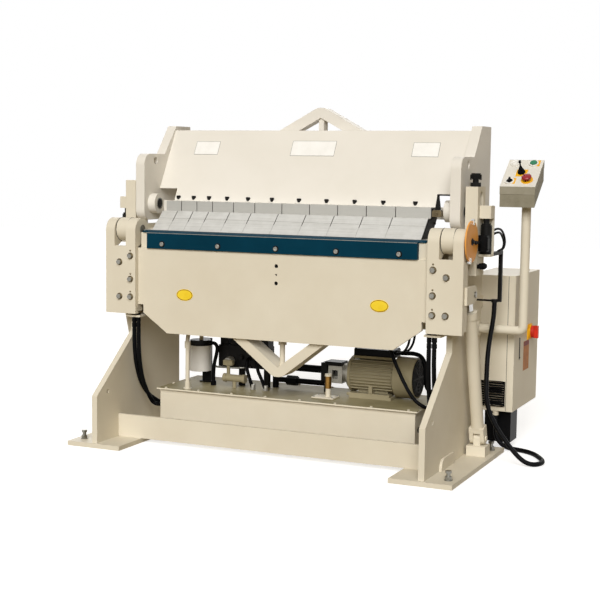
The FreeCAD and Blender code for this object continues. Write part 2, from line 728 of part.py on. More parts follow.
def fingers():
    half = sum(FINGER_WIDTHS) / 2
    rise = s.beam_top - s.finger_top - 1
    run = s.beam_lean_y - s.beam_seat
    lean = Size(math.degrees(math.atan2(rise.value, run.value)), f"atan2({rise.text}; {run.text})")
    solids, screws = [], []
    start = -half
    for width in FINGER_WIDTHS:
        low = start * s.finger_inch + s.finger_gap / 2
        high = (start + width) * s.finger_inch - s.finger_gap / 2
        middle = (low + high) / 2
        profile = [
            (s.pivot_y + 0.8, s.finger_sole),
            (s.pivot_y + 58, s.pivot_z + 51),
            (s.pivot_y + 88.8, s.pivot_z + 80.4),
            (s.pivot_y + 122.5, s.pivot_z + 80.4),
            (s.pivot_y + 122.5, s.finger_top),
            (s.beam_seat - 0.3, s.finger_top),
            (s.beam_seat - 0.3, s.beam_base),
            (s.pivot_y + 135, s.pivot_z + 19),
            (s.pivot_y + 105, s.finger_sole),
        ]
        body = plate("YZ", profile, low + s.finger_relief, high - s.finger_relief)
        nose = plate(
            "YZ",
            [
                (s.pivot_y + 0.8, s.finger_sole),
                (s.pivot_y + 43.2, s.finger_sole + 37.5),
                (s.pivot_y + 43.2, s.finger_sole),
            ],
            low,
            high,
        )
        seam = box(
            (low - 1, high + 1),
            (s.pivot_y + 56.6, s.pivot_y + 58.6),
            (s.pivot_z + 49.4, s.pivot_z + 53),
        )
        solids.append(cut(fuse(body, nose), seam))
        wedge = [(-9, 8), (-9, 2), (-3.5, -8), (3.5, -8), (9, 2), (9, 8)]
        screw = group(plate("XY", wedge, 0, 7))
        seat = s.beam_seat + 10.5 * run / rise
        screws.append(turned(screw, Vector(1, 0, 0), lean, middle - 17, seat, s.finger_top + 11.5))
        start += width
    node("clamp_fingers", group(*solids))
    node("finger_screws", group(*screws))


# Apron: the folding leaf plate with its head strip, end bars and cylinder clevises
def apron():
    outline = [
        (-s.apron_half, s.apron_top_z),
        (-s.apron_half, s.apron_notch_z),
        (-s.apron_step, s.apron_notch_z),
        (-s.apron_step, s.apron_corner_z),
        (-s.apron_low_half, s.apron_low_z),
        (s.apron_low_half, s.apron_low_z),
        (s.apron_step, s.apron_corner_z),
        (s.apron_step, s.apron_notch_z),
        (s.apron_half, s.apron_notch_z),
        (s.apron_half, s.apron_top_z),
    ]
    back = s.apron_front + s.apron_thick
    leaf = plate("XZ", outline, s.apron_front, back)
    head = plate(
        "YZ",
        [
            (back, s.apron_top_z - 54),
            (s.pivot_y - 0.5, s.apron_top_z - 34),
            (s.pivot_y - 0.5, s.pivot_z - 10),
            (s.apron_front + 14, s.pivot_z - 10),
            (s.apron_front + 14, s.apron_top_z - 4),
            (back, s.apron_top_z - 4),
        ],
        -s.bed_half,
        s.bed_half,
    )
    solids = [leaf, head]
    tools = []
    for side in (-1, 1):
        bar_back = s.apron_front + s.bar_thick
        solids.append(
            box(span(side, s.apron_half, s.bar_end), (s.apron_front, bar_back), (s.bar_base, s.bar_top))
        )
        reach = s.eye_pin_y
        heights = (s.eye_pin_z - 35, s.eye_pin_z + 35)
        inner = span(side, s.bend_x - 25, s.bend_x - 15)
        outer = span(side, s.bar_end, s.bar_end + 10)
        solids.append(box(inner, (bar_back, reach), heights))
        solids.append(rod("x", (s.eye_pin_y, s.eye_pin_z), inner, 35))
        solids.append(box(outer, (s.apron_front, reach), heights))
        solids.append(rod("x", (s.eye_pin_y, s.eye_pin_z), outer, 35))
        for xs in (inner, outer):
            tools.append(rod("x", (s.eye_pin_y, s.eye_pin_z), (xs[0] - 1, xs[1] + 1), 12))
    for drop, radius in ((51.2, 8), (87.2, 4), (122.5, 8)):
        tools.append(rod("y", (0, s.apron_top_z - drop), (s.apron_front - 1, s.apron_front + 12), radius))
    node("apron_plate", cut(fuse(*solids), *tools))


# Apron truss: a V of bars behind the leaf with a jack post at its centre
def apron_truss():
    back = s.apron_front + s.apron_thick
    vee = plate(
        "XZ",
        [
            (-s.vee_half, s.vee_end_z + s.vee_bar),
            (-s.vee_half, s.vee_end_z),
            (-20, s.vee_low),
            (20, s.vee_low),
            (s.vee_half, s.vee_end_z),
            (s.vee_half, s.vee_end_z + s.vee_bar),
            (0, s.vee_low + s.vee_bar),
        ],
        back,
        back + s.vee_deep,
        rounds=((2, 45), (3, 45)),
    )
    centre = (0, back + 50)
    post = rod("z", centre, (s.vee_low + s.vee_bar - 6, s.apron_low_z + 90.5), 11)
    collar = hexagon("z", centre, (s.apron_low_z - 22, s.apron_low_z - 2), 38)
    bracket = box((-30, 30), (back, back + 80), (s.apron_low_z + 90.5, s.apron_low_z + 120.5))
    node("apron_truss", fuse(vee, post, collar, bracket))


# Insert bar along the bend line, and the screws that hold it and the bearing blocks
def insert_bar():
    front = s.insert_front
    seat = s.apron_front + 14
    bar = plate(
        "YZ",
        [
            (front, s.apron_top_z + 0.3),
            (seat, s.apron_top_z + 0.3),
            (seat, s.pivot_z - 9.7),
            (s.pivot_y - 0.4, s.pivot_z - 9.7),
            (s.pivot_y - 0.4, s.pivot_z - 0.4),
            (front, s.pivot_z - 9),
        ],
        -s.insert_half,
        s.insert_half,
    )
    strip = plate(
        "YZ",
        [
            (seat - 6, s.pivot_z - 9.7),
            (s.pivot_y - 0.4, s.pivot_z - 9.7),
            (s.pivot_y - 0.4, s.pivot_z - 0.4),
            (seat - 6, s.pivot_z - 5),
        ],
        -s.bed_half + 10,
        s.bed_half - 10,
    )
    node("insert_bar", fuse(bar, strip))
    bolts = []
    for step in range(-2, 3):
        pitch = (s.insert_half - 74.8) / 2
        bolts.append(rod("y", (step * pitch, s.apron_top_z + 20.1), (front - 7, front), 9))
    for side in (-1, 1):
        for inset, drop in ((24.8, 111.5), (24.8, 211.5), (24.8, 288), (78.7, 139), (78.7, 288)):
            spot = (side * (s.apron_half + inset), s.pivot_z - drop)
            washer = rod("y", spot, (s.block_front - 2.5, s.block_front), 13)
            head = hexagon("y", spot, (s.block_front - 12, s.block_front - 2.5), 21)
            bolts.append(fuse(washer, head))
    node("apron_bolts", group(*bolts))


# Bearing blocks: bolted to the apron ends, each with two lugs round the frame's hub
def bearing_block(name, side):
    xs = span(side, s.apron_half, s.bar_end)
    body = box(xs, (s.block_front, s.apron_front), (s.block_base, s.slot_base - 2))
    solids = [body]
    tools = []
    for near, far in ((s.apron_half, s.hub_in - 0.5), (s.hub_out + 0.5, s.bar_end)):
        ends = span(side, near, far)
        solids.append(
            plate(
                "YZ",
                [
                    (s.block_front, s.slot_base - 2),
                    (s.block_front, s.pivot_z + s.lug_top),
                    (s.pivot_y, s.pivot_z + s.lug_top),
                    (s.pivot_y, s.pivot_z),
                    (s.pivot_y + 36, s.pivot_z - 33.2),
                    (s.apron_front + 6, s.slot_base - 2),
                ],
                *ends,
                rounds=((1, 55),),
            )
        )
        solids.append(rod("x", (s.pivot_y, s.pivot_z), ends, s.lug_rad))
        tools.append(rod("x", (s.pivot_y, s.pivot_z), (ends[0] - 1, ends[1] + 1), s.pin_rad))
    node(f"{name}_bearing_block", cut(fuse(*solids), *tools))


def pins():
    """Apron pivot pins, and the rod eye pin ends held by the apron clevises."""
    solids = []
    for name, side in SIDES:
        outer = s.disk_in if side > 0 else s.bar_end + 4
        solids.append(rod("x", (s.pivot_y, s.pivot_z), span(side, s.apron_half - 2, outer), s.pin_rad))
        spot = (s.eye_pin_y, s.eye_pin_z)
        solids.append(rod("x", spot, span(side, s.bend_x - 31, s.bend_x - 15), 12))
        solids.append(rod("x", spot, span(side, s.bar_end, s.bar_end + 16), 12))
    node("pivot_pins", group(*solids))


# Angle disk on the right pivot pin, with two stop dogs clamped to its rim
def angle_disk():
    outer = s.disk_in + s.disk_thick
    disk = rod("x", (s.pivot_y, s.pivot_z), (s.disk_in, outer), s.disk_rad)
    node("angle_disk", disk)
    dogs = []
    for angle in (78, 256):
        dog = box((s.disk_in - 3, outer + 2.5), (-9, 9), (s.disk_rad - 16, s.disk_rad + 7))
        mouth = box((s.disk_in, outer), (-10, 10), (s.disk_rad - 17, s.disk_rad))
        clip = cut(dog, mouth)
        dogs.append(turned(clip, Vector(1, 0, 0), angle - 90, 0, s.pivot_y, s.pivot_z))
    node("stop_dogs", group(*dogs))


# Bending cylinders: base blocks on the feet, tubes that rock on them and rods with eyes
def bend_cylinders():
    run_y = s.base_pin_y - s.eye_pin_y
    run_z = s.eye_pin_z - s.base_pin_z
    tilt = Size(
        math.degrees(math.atan2(run_y.value, run_z.value)), f"atan2({run_y.text}; {run_z.text})"
    )
    closed = Size(
        math.hypot(run_y.value, run_z.value), f"sqrt(({run_y.text}) ^ 2 + ({run_z.text}) ^ 2)"
    )
    half = s.eye_thick / 2
    blocks = []
    for name, side in SIDES:
        base = side * s.bend_x
        block = box(
            (base - 40, base + 40), (s.base_pin_y - 36, s.base_pin_y + 36), (s.foot_thick, s.base_pin_z - 29)
        )
        tongue = box(
            (base - half + 0.3, base + half - 0.3),
            (s.base_pin_y - 22, s.base_pin_y + 22),
            (s.base_pin_z - 29, s.base_pin_z),
        )
        crown = rod("x", (s.base_pin_y, s.base_pin_z), (base - half + 0.3, base + half - 0.3), 22)
        pin = rod("x", (s.base_pin_y, s.base_pin_z), (base - 36, base + 36), 11)
        blocks.append(fuse(block, tongue, crown, pin))

        fork = fuse(box((-31, 31), (-24, 24), (0, 52)), rod("x", (0, 0), (-31, 31), 24))
        gap = box((-half, half), (-26, 26), (-26, 30))
        eye = rod("x", (0, 0), (-32, 32), 11 + s.fit_gap)
        barrel = rod("z", (0, 0), (50, s.tube_len), s.tube_rad)
        gland = rod("z", (0, 0), (s.tube_len - 30, s.tube_len), s.tube_rad + 3)
        port = rod("y", (0, 72), (20, 44), 9)
        bore = rod("z", (0, 0), (62, s.tube_len - 24), s.bore_rad)
        mouth = rod("z", (0, 0), (s.tube_len - 25, s.tube_len + 1), s.rod_rad + s.fit_gap)
        barrel_all = cut(fuse(fork, barrel, gland, port), gap, eye, bore, mouth)
        spot = (base, s.base_pin_y, s.base_pin_z)
        node(f"{name}_bend_cylinder", turned(barrel_all, Vector(1, 0, 0), tilt, *spot))

        piston = rod("z", (0, 0), (66, 96), s.bore_rad - s.fit_gap)
        shank = rod("z", (0, 0), (90, closed - s.eye_rad + 4), s.rod_rad)
        head = rod("x", (0, closed), (-half, half), s.eye_rad)
        hole = rod("x", (0, closed), (-half - 1, half + 1), 12)
        ram = cut(fuse(piston, shank, head), hole)
        node(f"{name}_bend_rod", turned(ram, Vector(1, 0, 0), tilt, *spot))
    node("cylinder_bases", group(*blocks))


# Oil tank with its lid
def tank():
    xs = (-s.tank_half, s.tank_half)
    ys = (s.tank_front, s.tank_rear)
    shell = box(xs, ys, (s.tank_base, s.tank_top))
    hollow = box(
        (xs[0] + s.tank_wall, xs[1] - s.tank_wall),
        (ys[0] + s.tank_wall, ys[1] - s.tank_wall),
        (s.tank_base + s.tank_wall, s.tank_top + 1),
    )
    legs = [
        box((x - 25, x + 25), (s.tank_front + 30, s.tank_rear - 30), (0, s.tank_base))
        for x in (289 - s.tank_half, s.tank_half - 289)
    ]
    node("oil_tank", fuse(cut(shell, hollow), *legs))
    over = s.lid_over
    lid = box(
        (xs[0] - over, xs[1] + over), (ys[0] - over, ys[1] + over), (s.tank_top, s.tank_top + s.lid_thick)
    )
    node("tank_lid", lid)


# Motor: finned housing on feet, terminal box, fan cowl and the rotor with its fan
def motor():
    axis = (s.motor_y, s.motor_z)
    lid_top = s.tank_top + s.lid_thick
    core = rod("x", axis, (s.motor_start, s.motor_end), s.motor_rad)
    solids = [core]
    for step in range(-4, 6):
        height = 13 * step
        half = math.sqrt(s.fin_rad.value ** 2 - height ** 2)
        reach = Size(half, f"sqrt({s.fin_rad.text} ^ 2 - {height} ^ 2)")
        fin = box(
            (s.motor_start + 12, s.motor_end - 8),
            (s.motor_y - reach, s.motor_y + reach),
            (s.motor_z + height - 2, s.motor_z + height + 2),
        )
        solids.append(fin)
    solids.append(rod("x", axis, (s.motor_start, s.motor_start + 12), s.fin_rad - 2))
    low, high = s.motor_start + 8, s.motor_end - 4
    solids.append(box((low + 4, high), (s.motor_y - 84, s.motor_y + 84), (lid_top, lid_top + 11)))
    for sign in (-1, 1):
        strip = (s.motor_y + sign * 66 - 18, s.motor_y + sign * 66 + 18)
        solids.append(box((low - 4, high - 8), strip, (lid_top + 11, lid_top + 22)))
        middle = (low + high) / 2
        web = (s.motor_y + sign * 56 - 16, s.motor_y + sign * 56 + 16)
        solids.append(box((middle - 8, middle + 8), web, (lid_top + 20, s.motor_z - 40)))
    solids.append(box((low + 30, high - 30), (s.motor_y - 40, s.motor_y + 40), (lid_top + 9, s.motor_z - 60)))
    inside = rod("x", axis, (s.motor_start + 10, s.motor_end + 1), s.motor_rad - 10)
    shaft_way = rod("x", axis, (s.motor_start - 1, s.motor_start + 12), s.motor_shaft + s.fit_gap)
    housing = cut(fuse(*solids), inside, shaft_way)
    terminal = box(
        (s.motor_start + 20, s.motor_start + 195),
        (s.motor_y - 48, s.motor_y + 48),
        (s.motor_z + s.fin_rad - 6, s.motor_z + s.fin_rad + 32),
    )
    saddle = rod("x", axis, (s.motor_start, s.motor_end), s.fin_rad + 0.3)
    node("motor_housing", group(housing, cut(terminal, saddle)))
    cowl = rod("x", axis, (s.motor_end, s.cowl_end), s.cowl_rad)
    hollow = rod("x", axis, (s.motor_end + 6, s.cowl_end - 3), s.cowl_rad - 3)
    entry = rod("x", axis, (s.motor_end - 1, s.motor_end + 7), 30)
    holes = []
    for ring, count in ((24, 6), (44, 10), (64, 14)):
        for step in range(count):
            turn = 2 * math.pi * step / count
            spot = (s.motor_y + ring * math.cos(turn), s.motor_z + ring * math.sin(turn))
            holes.append(rod("x", spot, (s.cowl_end - 4, s.cowl_end + 1), 6.5))
    node("motor_fan_cowl", cut(cowl, hollow, entry, *holes))
    shaft = rod("x", axis, (s.motor_start - 46, s.cowl_end - 22), s.motor_shaft)
    core_iron = rod("x", axis, (s.motor_start + 30, s.motor_end - 24), 50)
    hub = rod("x", axis, (s.motor_end + 16, s.motor_end + 46), 26)
    coupling = rod("x", axis, (s.motor_start - 46, s.motor_start - 14), 24)
    blades = []
    for step in range(6):
        blade = box((s.motor_end + 18, s.motor_end + 44), (-1.5, 1.5), (20, 72))
        blades.append(turned(blade, Vector(1, 0, 0), step * 60, 0, s.motor_y, s.motor_z))
    node("motor_rotor", fuse(shaft, core_iron, hub, coupling, *blades))


# Pump on its bell housing, in line with the motor
def pump():
    axis = (s.motor_y, s.motor_z)
    start = s.motor_start - 100
    lid_top = s.tank_top + s.lid_thick
    bell = fuse(
        rod("x", axis, (s.motor_start - 12, s.motor_start), 64),
        rod("x", axis, (start + 60, s.motor_start - 6), 38),
        box((start, start + 64), (s.motor_y - 42, s.motor_y + 42), (s.motor_z - 44, s.motor_z + 30)),
    )
    inside = rod("x", axis, (start + 10, s.motor_start + 1), 26.5)
    pilot = rod("x", axis, (start - 1, start + 11), 20)
    window = box((start + 18, start + 44), (s.motor_y - 43, s.motor_y - 20), (s.motor_z - 24, s.motor_z + 12))
    node("bell_housing", cut(bell, inside, pilot, window))
    body = box((start - 36, start - 10), (s.motor_y - 38, s.motor_y + 38), (s.motor_z - 42, s.motor_z + 40))
    flange = rod("x", axis, (start - 10, start), 40)
    spigot = rod("x", axis, (start, start + 4), 20)
    relief = box((start - 20, start + 58), (s.motor_y - 36, s.motor_y + 36), (s.motor_z + 30, s.motor_z + 46))
    suction = rod("z", (start - 24, s.motor_y), (lid_top, s.motor_z - 40), 12)
    node("gear_pump", fuse(body, flange, spigot, relief, suction))


# Tank top fittings: filler, return filter and pipe, valve block and strainer
def tank_fittings():
    lid_top = s.tank_top + s.lid_thick
    x, y = s.motor_start - 62, s.tank_front + 114
    flange = box((x - 62, x + 38), (y - 36, y + 34), (lid_top, lid_top + 5))
    neck = rod("z", (x, y), (lid_top + 5, lid_top + 62), 11)
    cap = rod("z", (x, y), (lid_top + 56, lid_top + 96), 13)
    rim = rod("z", (x, y), (lid_top + 92, lid_top + 102), 15)
    node("filler_neck", fuse(flange, neck, cap, rim))
    x, y = 111 - s.tank_half, s.tank_front + 161
    spot = (x, y)
    body = rod("z", spot, (lid_top + 62, lid_top + 172), 48)
    crimp = rod("z", spot, (lid_top + 164, lid_top + 176), 50)
    node("filter_canister", fuse(body, crimp))
    top = lid_top + 200
    head = rod("z", spot, (top - 24, top), 46)
    bridge = box((x - 22, x + 22), (y, y + 71), (top - 20, top))
    post = box((x - 22, x + 22), (y + 59, y + 71), (lid_top, top))
    sole = box((x - 32, x + 32), (y + 51, y + 91), (lid_top, lid_top + 6))
    boss = rod("x", (y, top - 12), (x + 28, x + 48), 12)
    node("filter_head", fuse(head, bridge, post, sole, boss))
    x, near, far = x + 12.5, s.tank_front + 20.5, s.tank_front + 146
    line = [
        (x, near, lid_top + 30),
        (x, near, lid_top + 268),
        (x, far, lid_top + 268),
        (x, far, top),
    ]
    pipe = tube("return_pipe", line, 9)
    collar = rod("z", (x, near), (lid_top + 180, lid_top + 210), 13)
    foot = rod("z", (x, near), (lid_top, lid_top + 32), 12)
    flange = rod("z", (x, near), (lid_top, lid_top + 6), 18)
    node("return_pipe", fuse(pipe, collar, foot, flange))
    low, y = 269 - s.tank_half, s.tank_front + 221
    base, top = lid_top + 84, lid_top + 180
    block = box((low - 80, low + 160), (y - 35, y + 35), (base, top))
    legs = [rod("z", (low + x, y), (lid_top, base + 2), 15) for x in (20, 143)]
    spots = (-55, -5, 45, 95, 140)
    valves = [box((low + x - 20, low + x + 20), (y - 27, y + 27), (top, top + 40)) for x in spots]
    coils = [rod("z", (low + x, y), (top + 40, top + 62), 16) for x in spots]
    ports = [rod("y", (low + x, base + 46), (y - 49, y - 34), 10) for x in (35, 80, 125)]
    side_port = rod("x", (y, base + 16), (low + 160, low + 174), 19)
    node("valve_block", fuse(block, *legs, *valves, *coils, *ports, side_port))
    y, z = s.tank_front + 146, lid_top + 42
    strainer = rod("x", (y, z), (low - 25, low + 68), 16)
    caps = [rod("x", (y, z), (low + x, low + x + 14), 19) for x in (-32, 61)]
    stub = rod("z", (low + 20, y), (lid_top, z), 9)
    valve = rod("z", (low - 10, y), (z, z + 58), 8)
    handle = box((low - 32, low + 12), (y - 10, y + 10), (z + 56, z + 78))
    node("line_strainer", fuse(strainer, *caps, stub, valve, handle))


# Hoses and the motor cable, held at both ends, and their fittings
SIDE_HOSE = [
    (683, -100, 482),
    (683, -100, 420),
    (683, -88, 330),
    (681, -55, 245),
    (668, -8, 178),
    (642, 50, 136),
    (603, 50, 136),
]
INNER_HOSE = [
    (661, -100, 482),
    (661, -100, 420),
    (661, -92, 336),
    (659, -70, 254),
    (653, -38, 190),
    (648, 6, 136),
    (603, 6, 136),
]
FILTER_HOSE = [
    (-424, 125, 408),
    (-404, 125, 408),
    (-393, 125, 390),
    (-398, 125, 358),
    (-409, 125, 318),
    (-412, 125, 276),
    (-412, 125, 240),
]
COWL_HOSE = [
    (420, 60, 533),
    (420, 60, 508),
    (433, 58, 474),
    (450, 53, 434),
    (472, 45, 392),
    (496, 35, 352),
    (521, 24, 314),
    (548, 12, 279),
    (577, 2, 252),
    (607, 6, 233),
    (636, 28, 220),
    (660, 56, 204),
    (674, 82, 180),
    (671, 100, 152),
    (651, 109, 130),
    (627, 110, 118),
    (603, 110, 118),
]
BOX_CABLE = [
    (417, 186, 412),
    (436, 186, 412),
    (459, 186, 424),
    (475, 186, 450),
    (483, 186, 486),
    (483, 186, 533),
]
MOTOR_CABLE = [
    (417, 210, 413),
    (452, 210, 413),
    (490, 208, 416),
    (524, 204, 410),
    (546, 198, 384),
    (552, 195, 342),
    (552, 196, 300),
    (557, 206, 268),
    (579, 232, 250),
    (616, 266, 245),
    (656, 298, 246),
    (688, 332, 250),
    (695, 352, 250),
    (695, 370, 250),
]


def hoses():
    lid_top = s.tank_top + s.lid_thick
    solids, fittings = [], []
    for name, side in SIDES:
        solids.append(tube(f"{name}_side_hose", route(side, SIDE_HOSE), s.hose_rad))
        solids.append(tube(f"{name}_inner_hose", route(side, INNER_HOSE), s.hose_rad))
        for x, across in ((s.hose_x, 23), (s.hose_x - 22, 20)):
            spot = (side * x, s.apron_front + 10)
            shank = rod("z", spot, (482, 548), 8.5)
            lower = hexagon("z", spot, (489, 506), across)
            upper = hexagon("z", spot, (513, s.block_base - 16), across)
            fittings.append(fuse(shank, lower, upper))
        for y in (6, 50):
            fittings.append(rod("x", (y, 136), span(side, s.tank_half, s.tank_half + 14), 12))
    pipe_y, pipe_z = s.tank_front + 221, lid_top + 100
    low = 443 - s.tank_half
    fittings.append(rod("x", (pipe_y, pipe_z), (low, s.motor_start - 136), 16))
    elbow = rod("z", (low, s.motor_y), (lid_top, lid_top + 52), 14)
    line = rod("x", (s.motor_y, lid_top + 36), (low, s.motor_start - 136.4), 12)
    union = hexagon("x", (s.motor_y, lid_top + 36), (low + 56, low + 106), 44)
    fittings.append(fuse(elbow, line, union))
    fittings.append(rod("z", (-412, 125), (lid_top, lid_top + 20), 12))
    fittings.append(rod("x", (125, lid_top + 188), (159 - s.tank_half, 165 - s.tank_half), 12))
    solids.append(tube("filter_hose", FILTER_HOSE, s.hose_rad - 1))
    solids.append(tube("motor_cable", MOTOR_CABLE, s.hose_rad))
    solids.append(tube("cowl_hose", COWL_HOSE, s.hose_rad - 1.5))
    for shift in (0, 50):
        points = [(x + 0.08 * shift, y + shift, z) for x, y, z in BOX_CABLE]
        points[0] = (417, 186 + shift, 412)
        solids.append(tube("box_cable", points, s.hose_rad - 4))
        spot = (points[-1][0], points[-1][1])
        fittings.append(rod("z", spot, (s.bed_base - 12, s.bed_base), 9))
    fittings.append(rod("z", (420, 60), (s.bed_base - 12, s.bed_base), 12))
    fittings.append(rod("x", (110, 118), (s.tank_half, s.tank_half + 14), 11))
    node("fixed_hoses", group(*solids, *fittings))


# Electrical cabinet behind the right side plate, with a door on its outer side
def cabinet():
    walls = s.cab_wall
    shell = box((s.cab_in, s.cab_door), (s.cab_front, s.cab_rear), (s.cab_base, s.cab_top))
    hollow = box(
        (s.cab_in + walls, s.cab_door + 1),
        (s.cab_front + walls, s.cab_rear - walls),
        (s.cab_base + walls, s.cab_top - walls),
    )
    panel = box(
        (s.cab_in + walls, s.cab_in + 22),
        (s.cab_front + 30, s.cab_rear - 30),
        (s.cab_base + 30, s.cab_top - 30),
    )
    devices = []
    for height, wide in ((s.cab_base + 380, 8), (s.cab_base + 240, 6), (s.cab_base + 110, 9)):
        for step in range(wide):
            low = s.cab_front + 60 + step * 30
            devices.append(box((s.cab_in + 20, s.cab_in + 85), (low, low + 27), (height, height + 75)))
    x, z = s.cab_in + 61, s.cab_base + 21
    vent = box((x + 6, x + 99), (s.cab_front - 1, s.cab_front + walls + 1), (z + 6, z + 102))
    gland = rod("y", (s.cab_in + 18, s.cab_base + 80), (s.cab_front - 10, s.cab_front + 1), 12)
    entry = rod("z", (s.cab_in + 124, s.cab_front + 16), (s.cab_base - 20, s.cab_base + 1), 13)
    case = fuse(cut(shell, hollow, vent), panel, *devices, gland, entry)
    mesh = box((x, x + 105), (s.cab_front - 3, s.cab_front), (z, z + 108))
    slots = [
        box((x + 12, x + 93), (s.cab_front - 4, s.cab_front + 1), (z + 12 + 12 * i, z + 18 + 12 * i))
        for i in range(8)
    ]
    node("electrical_cabinet", group(case, cut(mesh, *slots)))
    door = box((s.cab_door + 0.2, s.cab_out), (s.cab_front, s.cab_rear), (s.cab_base, s.cab_top))
    pan = box(
        (s.cab_door, s.cab_out - walls),
        (s.cab_front + walls, s.cab_rear - walls),
        (s.cab_base + walls, s.cab_top - walls),
    )
    y, z = s.cab_front + 80, s.cab_base + 202
    handle_hole = box((s.cab_out - 3, s.cab_out + 1), (y + 4, y + 18), (z + 8, z + 109))
    handle = box((s.cab_out - 12, s.cab_out - 2), (y, y + 22), (z, z + 117))
    shaft_hole = rod("x", (s.isolator_y, s.isolator_z), (s.cab_door, s.cab_out + 1), 8 + s.fit_gap)
    node("cabinet_door", cut(fuse(cut(door, pan), handle), handle_hole, shaft_hole))
    spot = (s.isolator_y, s.isolator_z)
    base = box(
        (s.cab_out, s.cab_out + 6),
        (s.isolator_y - 33, s.isolator_y + 33),
        (s.isolator_z - 33, s.isolator_z + 33),
    )
    ring = rod("x", spot, (s.cab_out + 6, s.cab_out + 12), 31)
    node(
        "isolator_plate",
        cut(fuse(base, ring), rod("x", spot, (s.cab_out - 1, s.cab_out + 13), 8 + s.fit_gap)),
    )
    grip = box(
        (s.cab_out + 24, s.cab_out + 42),
        (s.isolator_y - 8, s.isolator_y + 8),
        (s.isolator_z - 27, s.isolator_z + 27),
    )
    knob = rod("x", spot, (s.cab_out + 12.3, s.cab_out + 26), 27)
    stem = rod("x", spot, (s.cab_out - 30, s.cab_out + 14), 8)
    node("isolator_knob", fuse(grip, knob, stem))
    node(
        "cable_box",
        box((s.cab_in + 69, s.cab_in + 183), (s.cab_front + 44, s.cab_front + 150), (30, s.cab_base)),
    )


# Pendant arm: a bent pole from the right side plate, with the control box on top
def pendant():
    arm = rod("x", (s.pole_y, s.pole_z), (s.side_in + s.side_thick, s.pole_x - 40), s.pole_rad)
    elbow = tube(
        "pendant_elbow",
        [
            (s.pole_x - 42, s.pole_y, s.pole_z),
            (s.pole_x, s.pole_y, s.pole_z),
            (s.pole_x, s.pole_y, s.pole_z + 42),
        ],
        s.pole_rad,
    )
    slope = s.pend_rise / s.pend_deep
    entry = s.pend_base + slope * (s.pole_y - s.pend_front)
    post = rod("z", (s.pole_x, s.pole_y), (s.pole_z + 40, entry + 20), s.pole_rad)
    collar = rod("x", (s.pole_y, s.pole_z), (s.side_in + s.side_thick, s.side_in + s.side_thick + 8), 32)
    rear = s.pend_front + s.pend_deep
    xs = (s.pend_in, s.pend_in + s.pend_wide)
    seam = s.pend_face - s.pend_lid
    below = plate(
        "YZ",
        [
            (s.pend_front, s.pend_base),
            (s.pend_front, s.pend_base + seam),
            (rear, s.pend_base + seam + s.pend_rise),
            (rear, s.pend_base + s.pend_rise),
        ],
        *xs,
    )
    hollow = plate(
        "YZ",
        [
            (s.pend_front + 3, s.pend_base + 6),
            (s.pend_front + 3, s.pend_base + seam + 4),
            (rear - 3, s.pend_base + seam + s.pend_rise + 2),
            (rear - 3, s.pend_base + s.pend_rise + 4),
        ],
        xs[0] + 3,
        xs[1] - 3,
    )
    node("pendant_pole", cut(fuse(arm, elbow, post, collar), below))
    node("pendant_box", cut(below, hollow))
    top = s.pend_base + s.pend_face
    lid = plate(
        "YZ",
        [
            (s.pend_front - 1, s.pend_base + seam + 0.2 - slope),
            (s.pend_front - 1, top - slope),
            (rear + 1, top + s.pend_rise + slope),
            (rear + 1, s.pend_base + seam + s.pend_rise + 0.2 + slope),
        ],
        xs[0] - 1,
        xs[1] + 1,
    )
    lid_hollow = plate(
        "YZ",
        [
            (s.pend_front + 3, s.pend_base + seam - 2),
            (s.pend_front + 3, top - 4),
            (rear - 3, top + s.pend_rise - 7),
            (rear - 3, s.pend_base + seam + s.pend_rise - 4),
        ],
        xs[0] + 3,
        xs[1] - 3,
    )
    angle = Size(
        math.degrees(math.atan2(s.pend_rise.value, s.pend_deep.value)),
        f"atan2({s.pend_rise.text}; {s.pend_deep.text})",
    )

    def on_face(shape, x, along):
        """Set a control on the sloping face, a distance from its front edge along Y."""
        return turned(
            shape, Vector(1, 0, 0), angle, x, s.pend_front + along, top + slope * along
        )

    green_x, stop_x, stick_x, turn_x = [s.pend_in + x for x in (106.3, 101.9, 67.9, 32.3)]
    holes = [on_face(rod("z", (0, 0), (-12, 16), r + s.fit_gap), x, y) for x, y, r in (
        (green_x, 122, 8),
        (stop_x, 34, 9),
        (stick_x, 74, 7.5 - s.fit_gap.value),
        (turn_x, 26, 8),
    )]
    lamp = on_face(rod("z", (0, 0), (-2, 8), 13), s.pend_in + 27.3, 121)
    boot = on_face(cone("z", (0, 0), (-1, 14), (14, 10)), stick_x, 74)
    node("pendant_lid", cut(fuse(cut(lid, lid_hollow), boot), lamp, *holes))
    stem = 16
    green = fuse(rod("z", (0, 0), (5 - stem, 9), 8), rod("z", (0, 0), (5, 9), 14))
    node("start_button", on_face(green, green_x, 122))
    mushroom = fuse(
        rod("z", (0, 0), (-stem, 14), 9),
        cone("z", (0, 0), (7, 15), (12, 20)),
        rod("z", (0, 0), (15, 21), 20),
    )
    node("stop_button", on_face(mushroom, stop_x, 34))
    stick = fuse(
        ball((0, 0, 2), 7.4),
        rod("z", (0, 0), (2, 48), 4),
        rod("z", (0, 0), (46, 62), 9),
    )
    node("joystick", on_face(stick, stick_x, 74))
    selector = fuse(
        rod("z", (0, 0), (-stem, 6), 8),
        rod("z", (0, 0), (0.2, 9), 14),
        box((-4, 4), (-14, 14), (8, 20)),
    )
    node("selector_switch", on_face(selector, turn_x, 26))


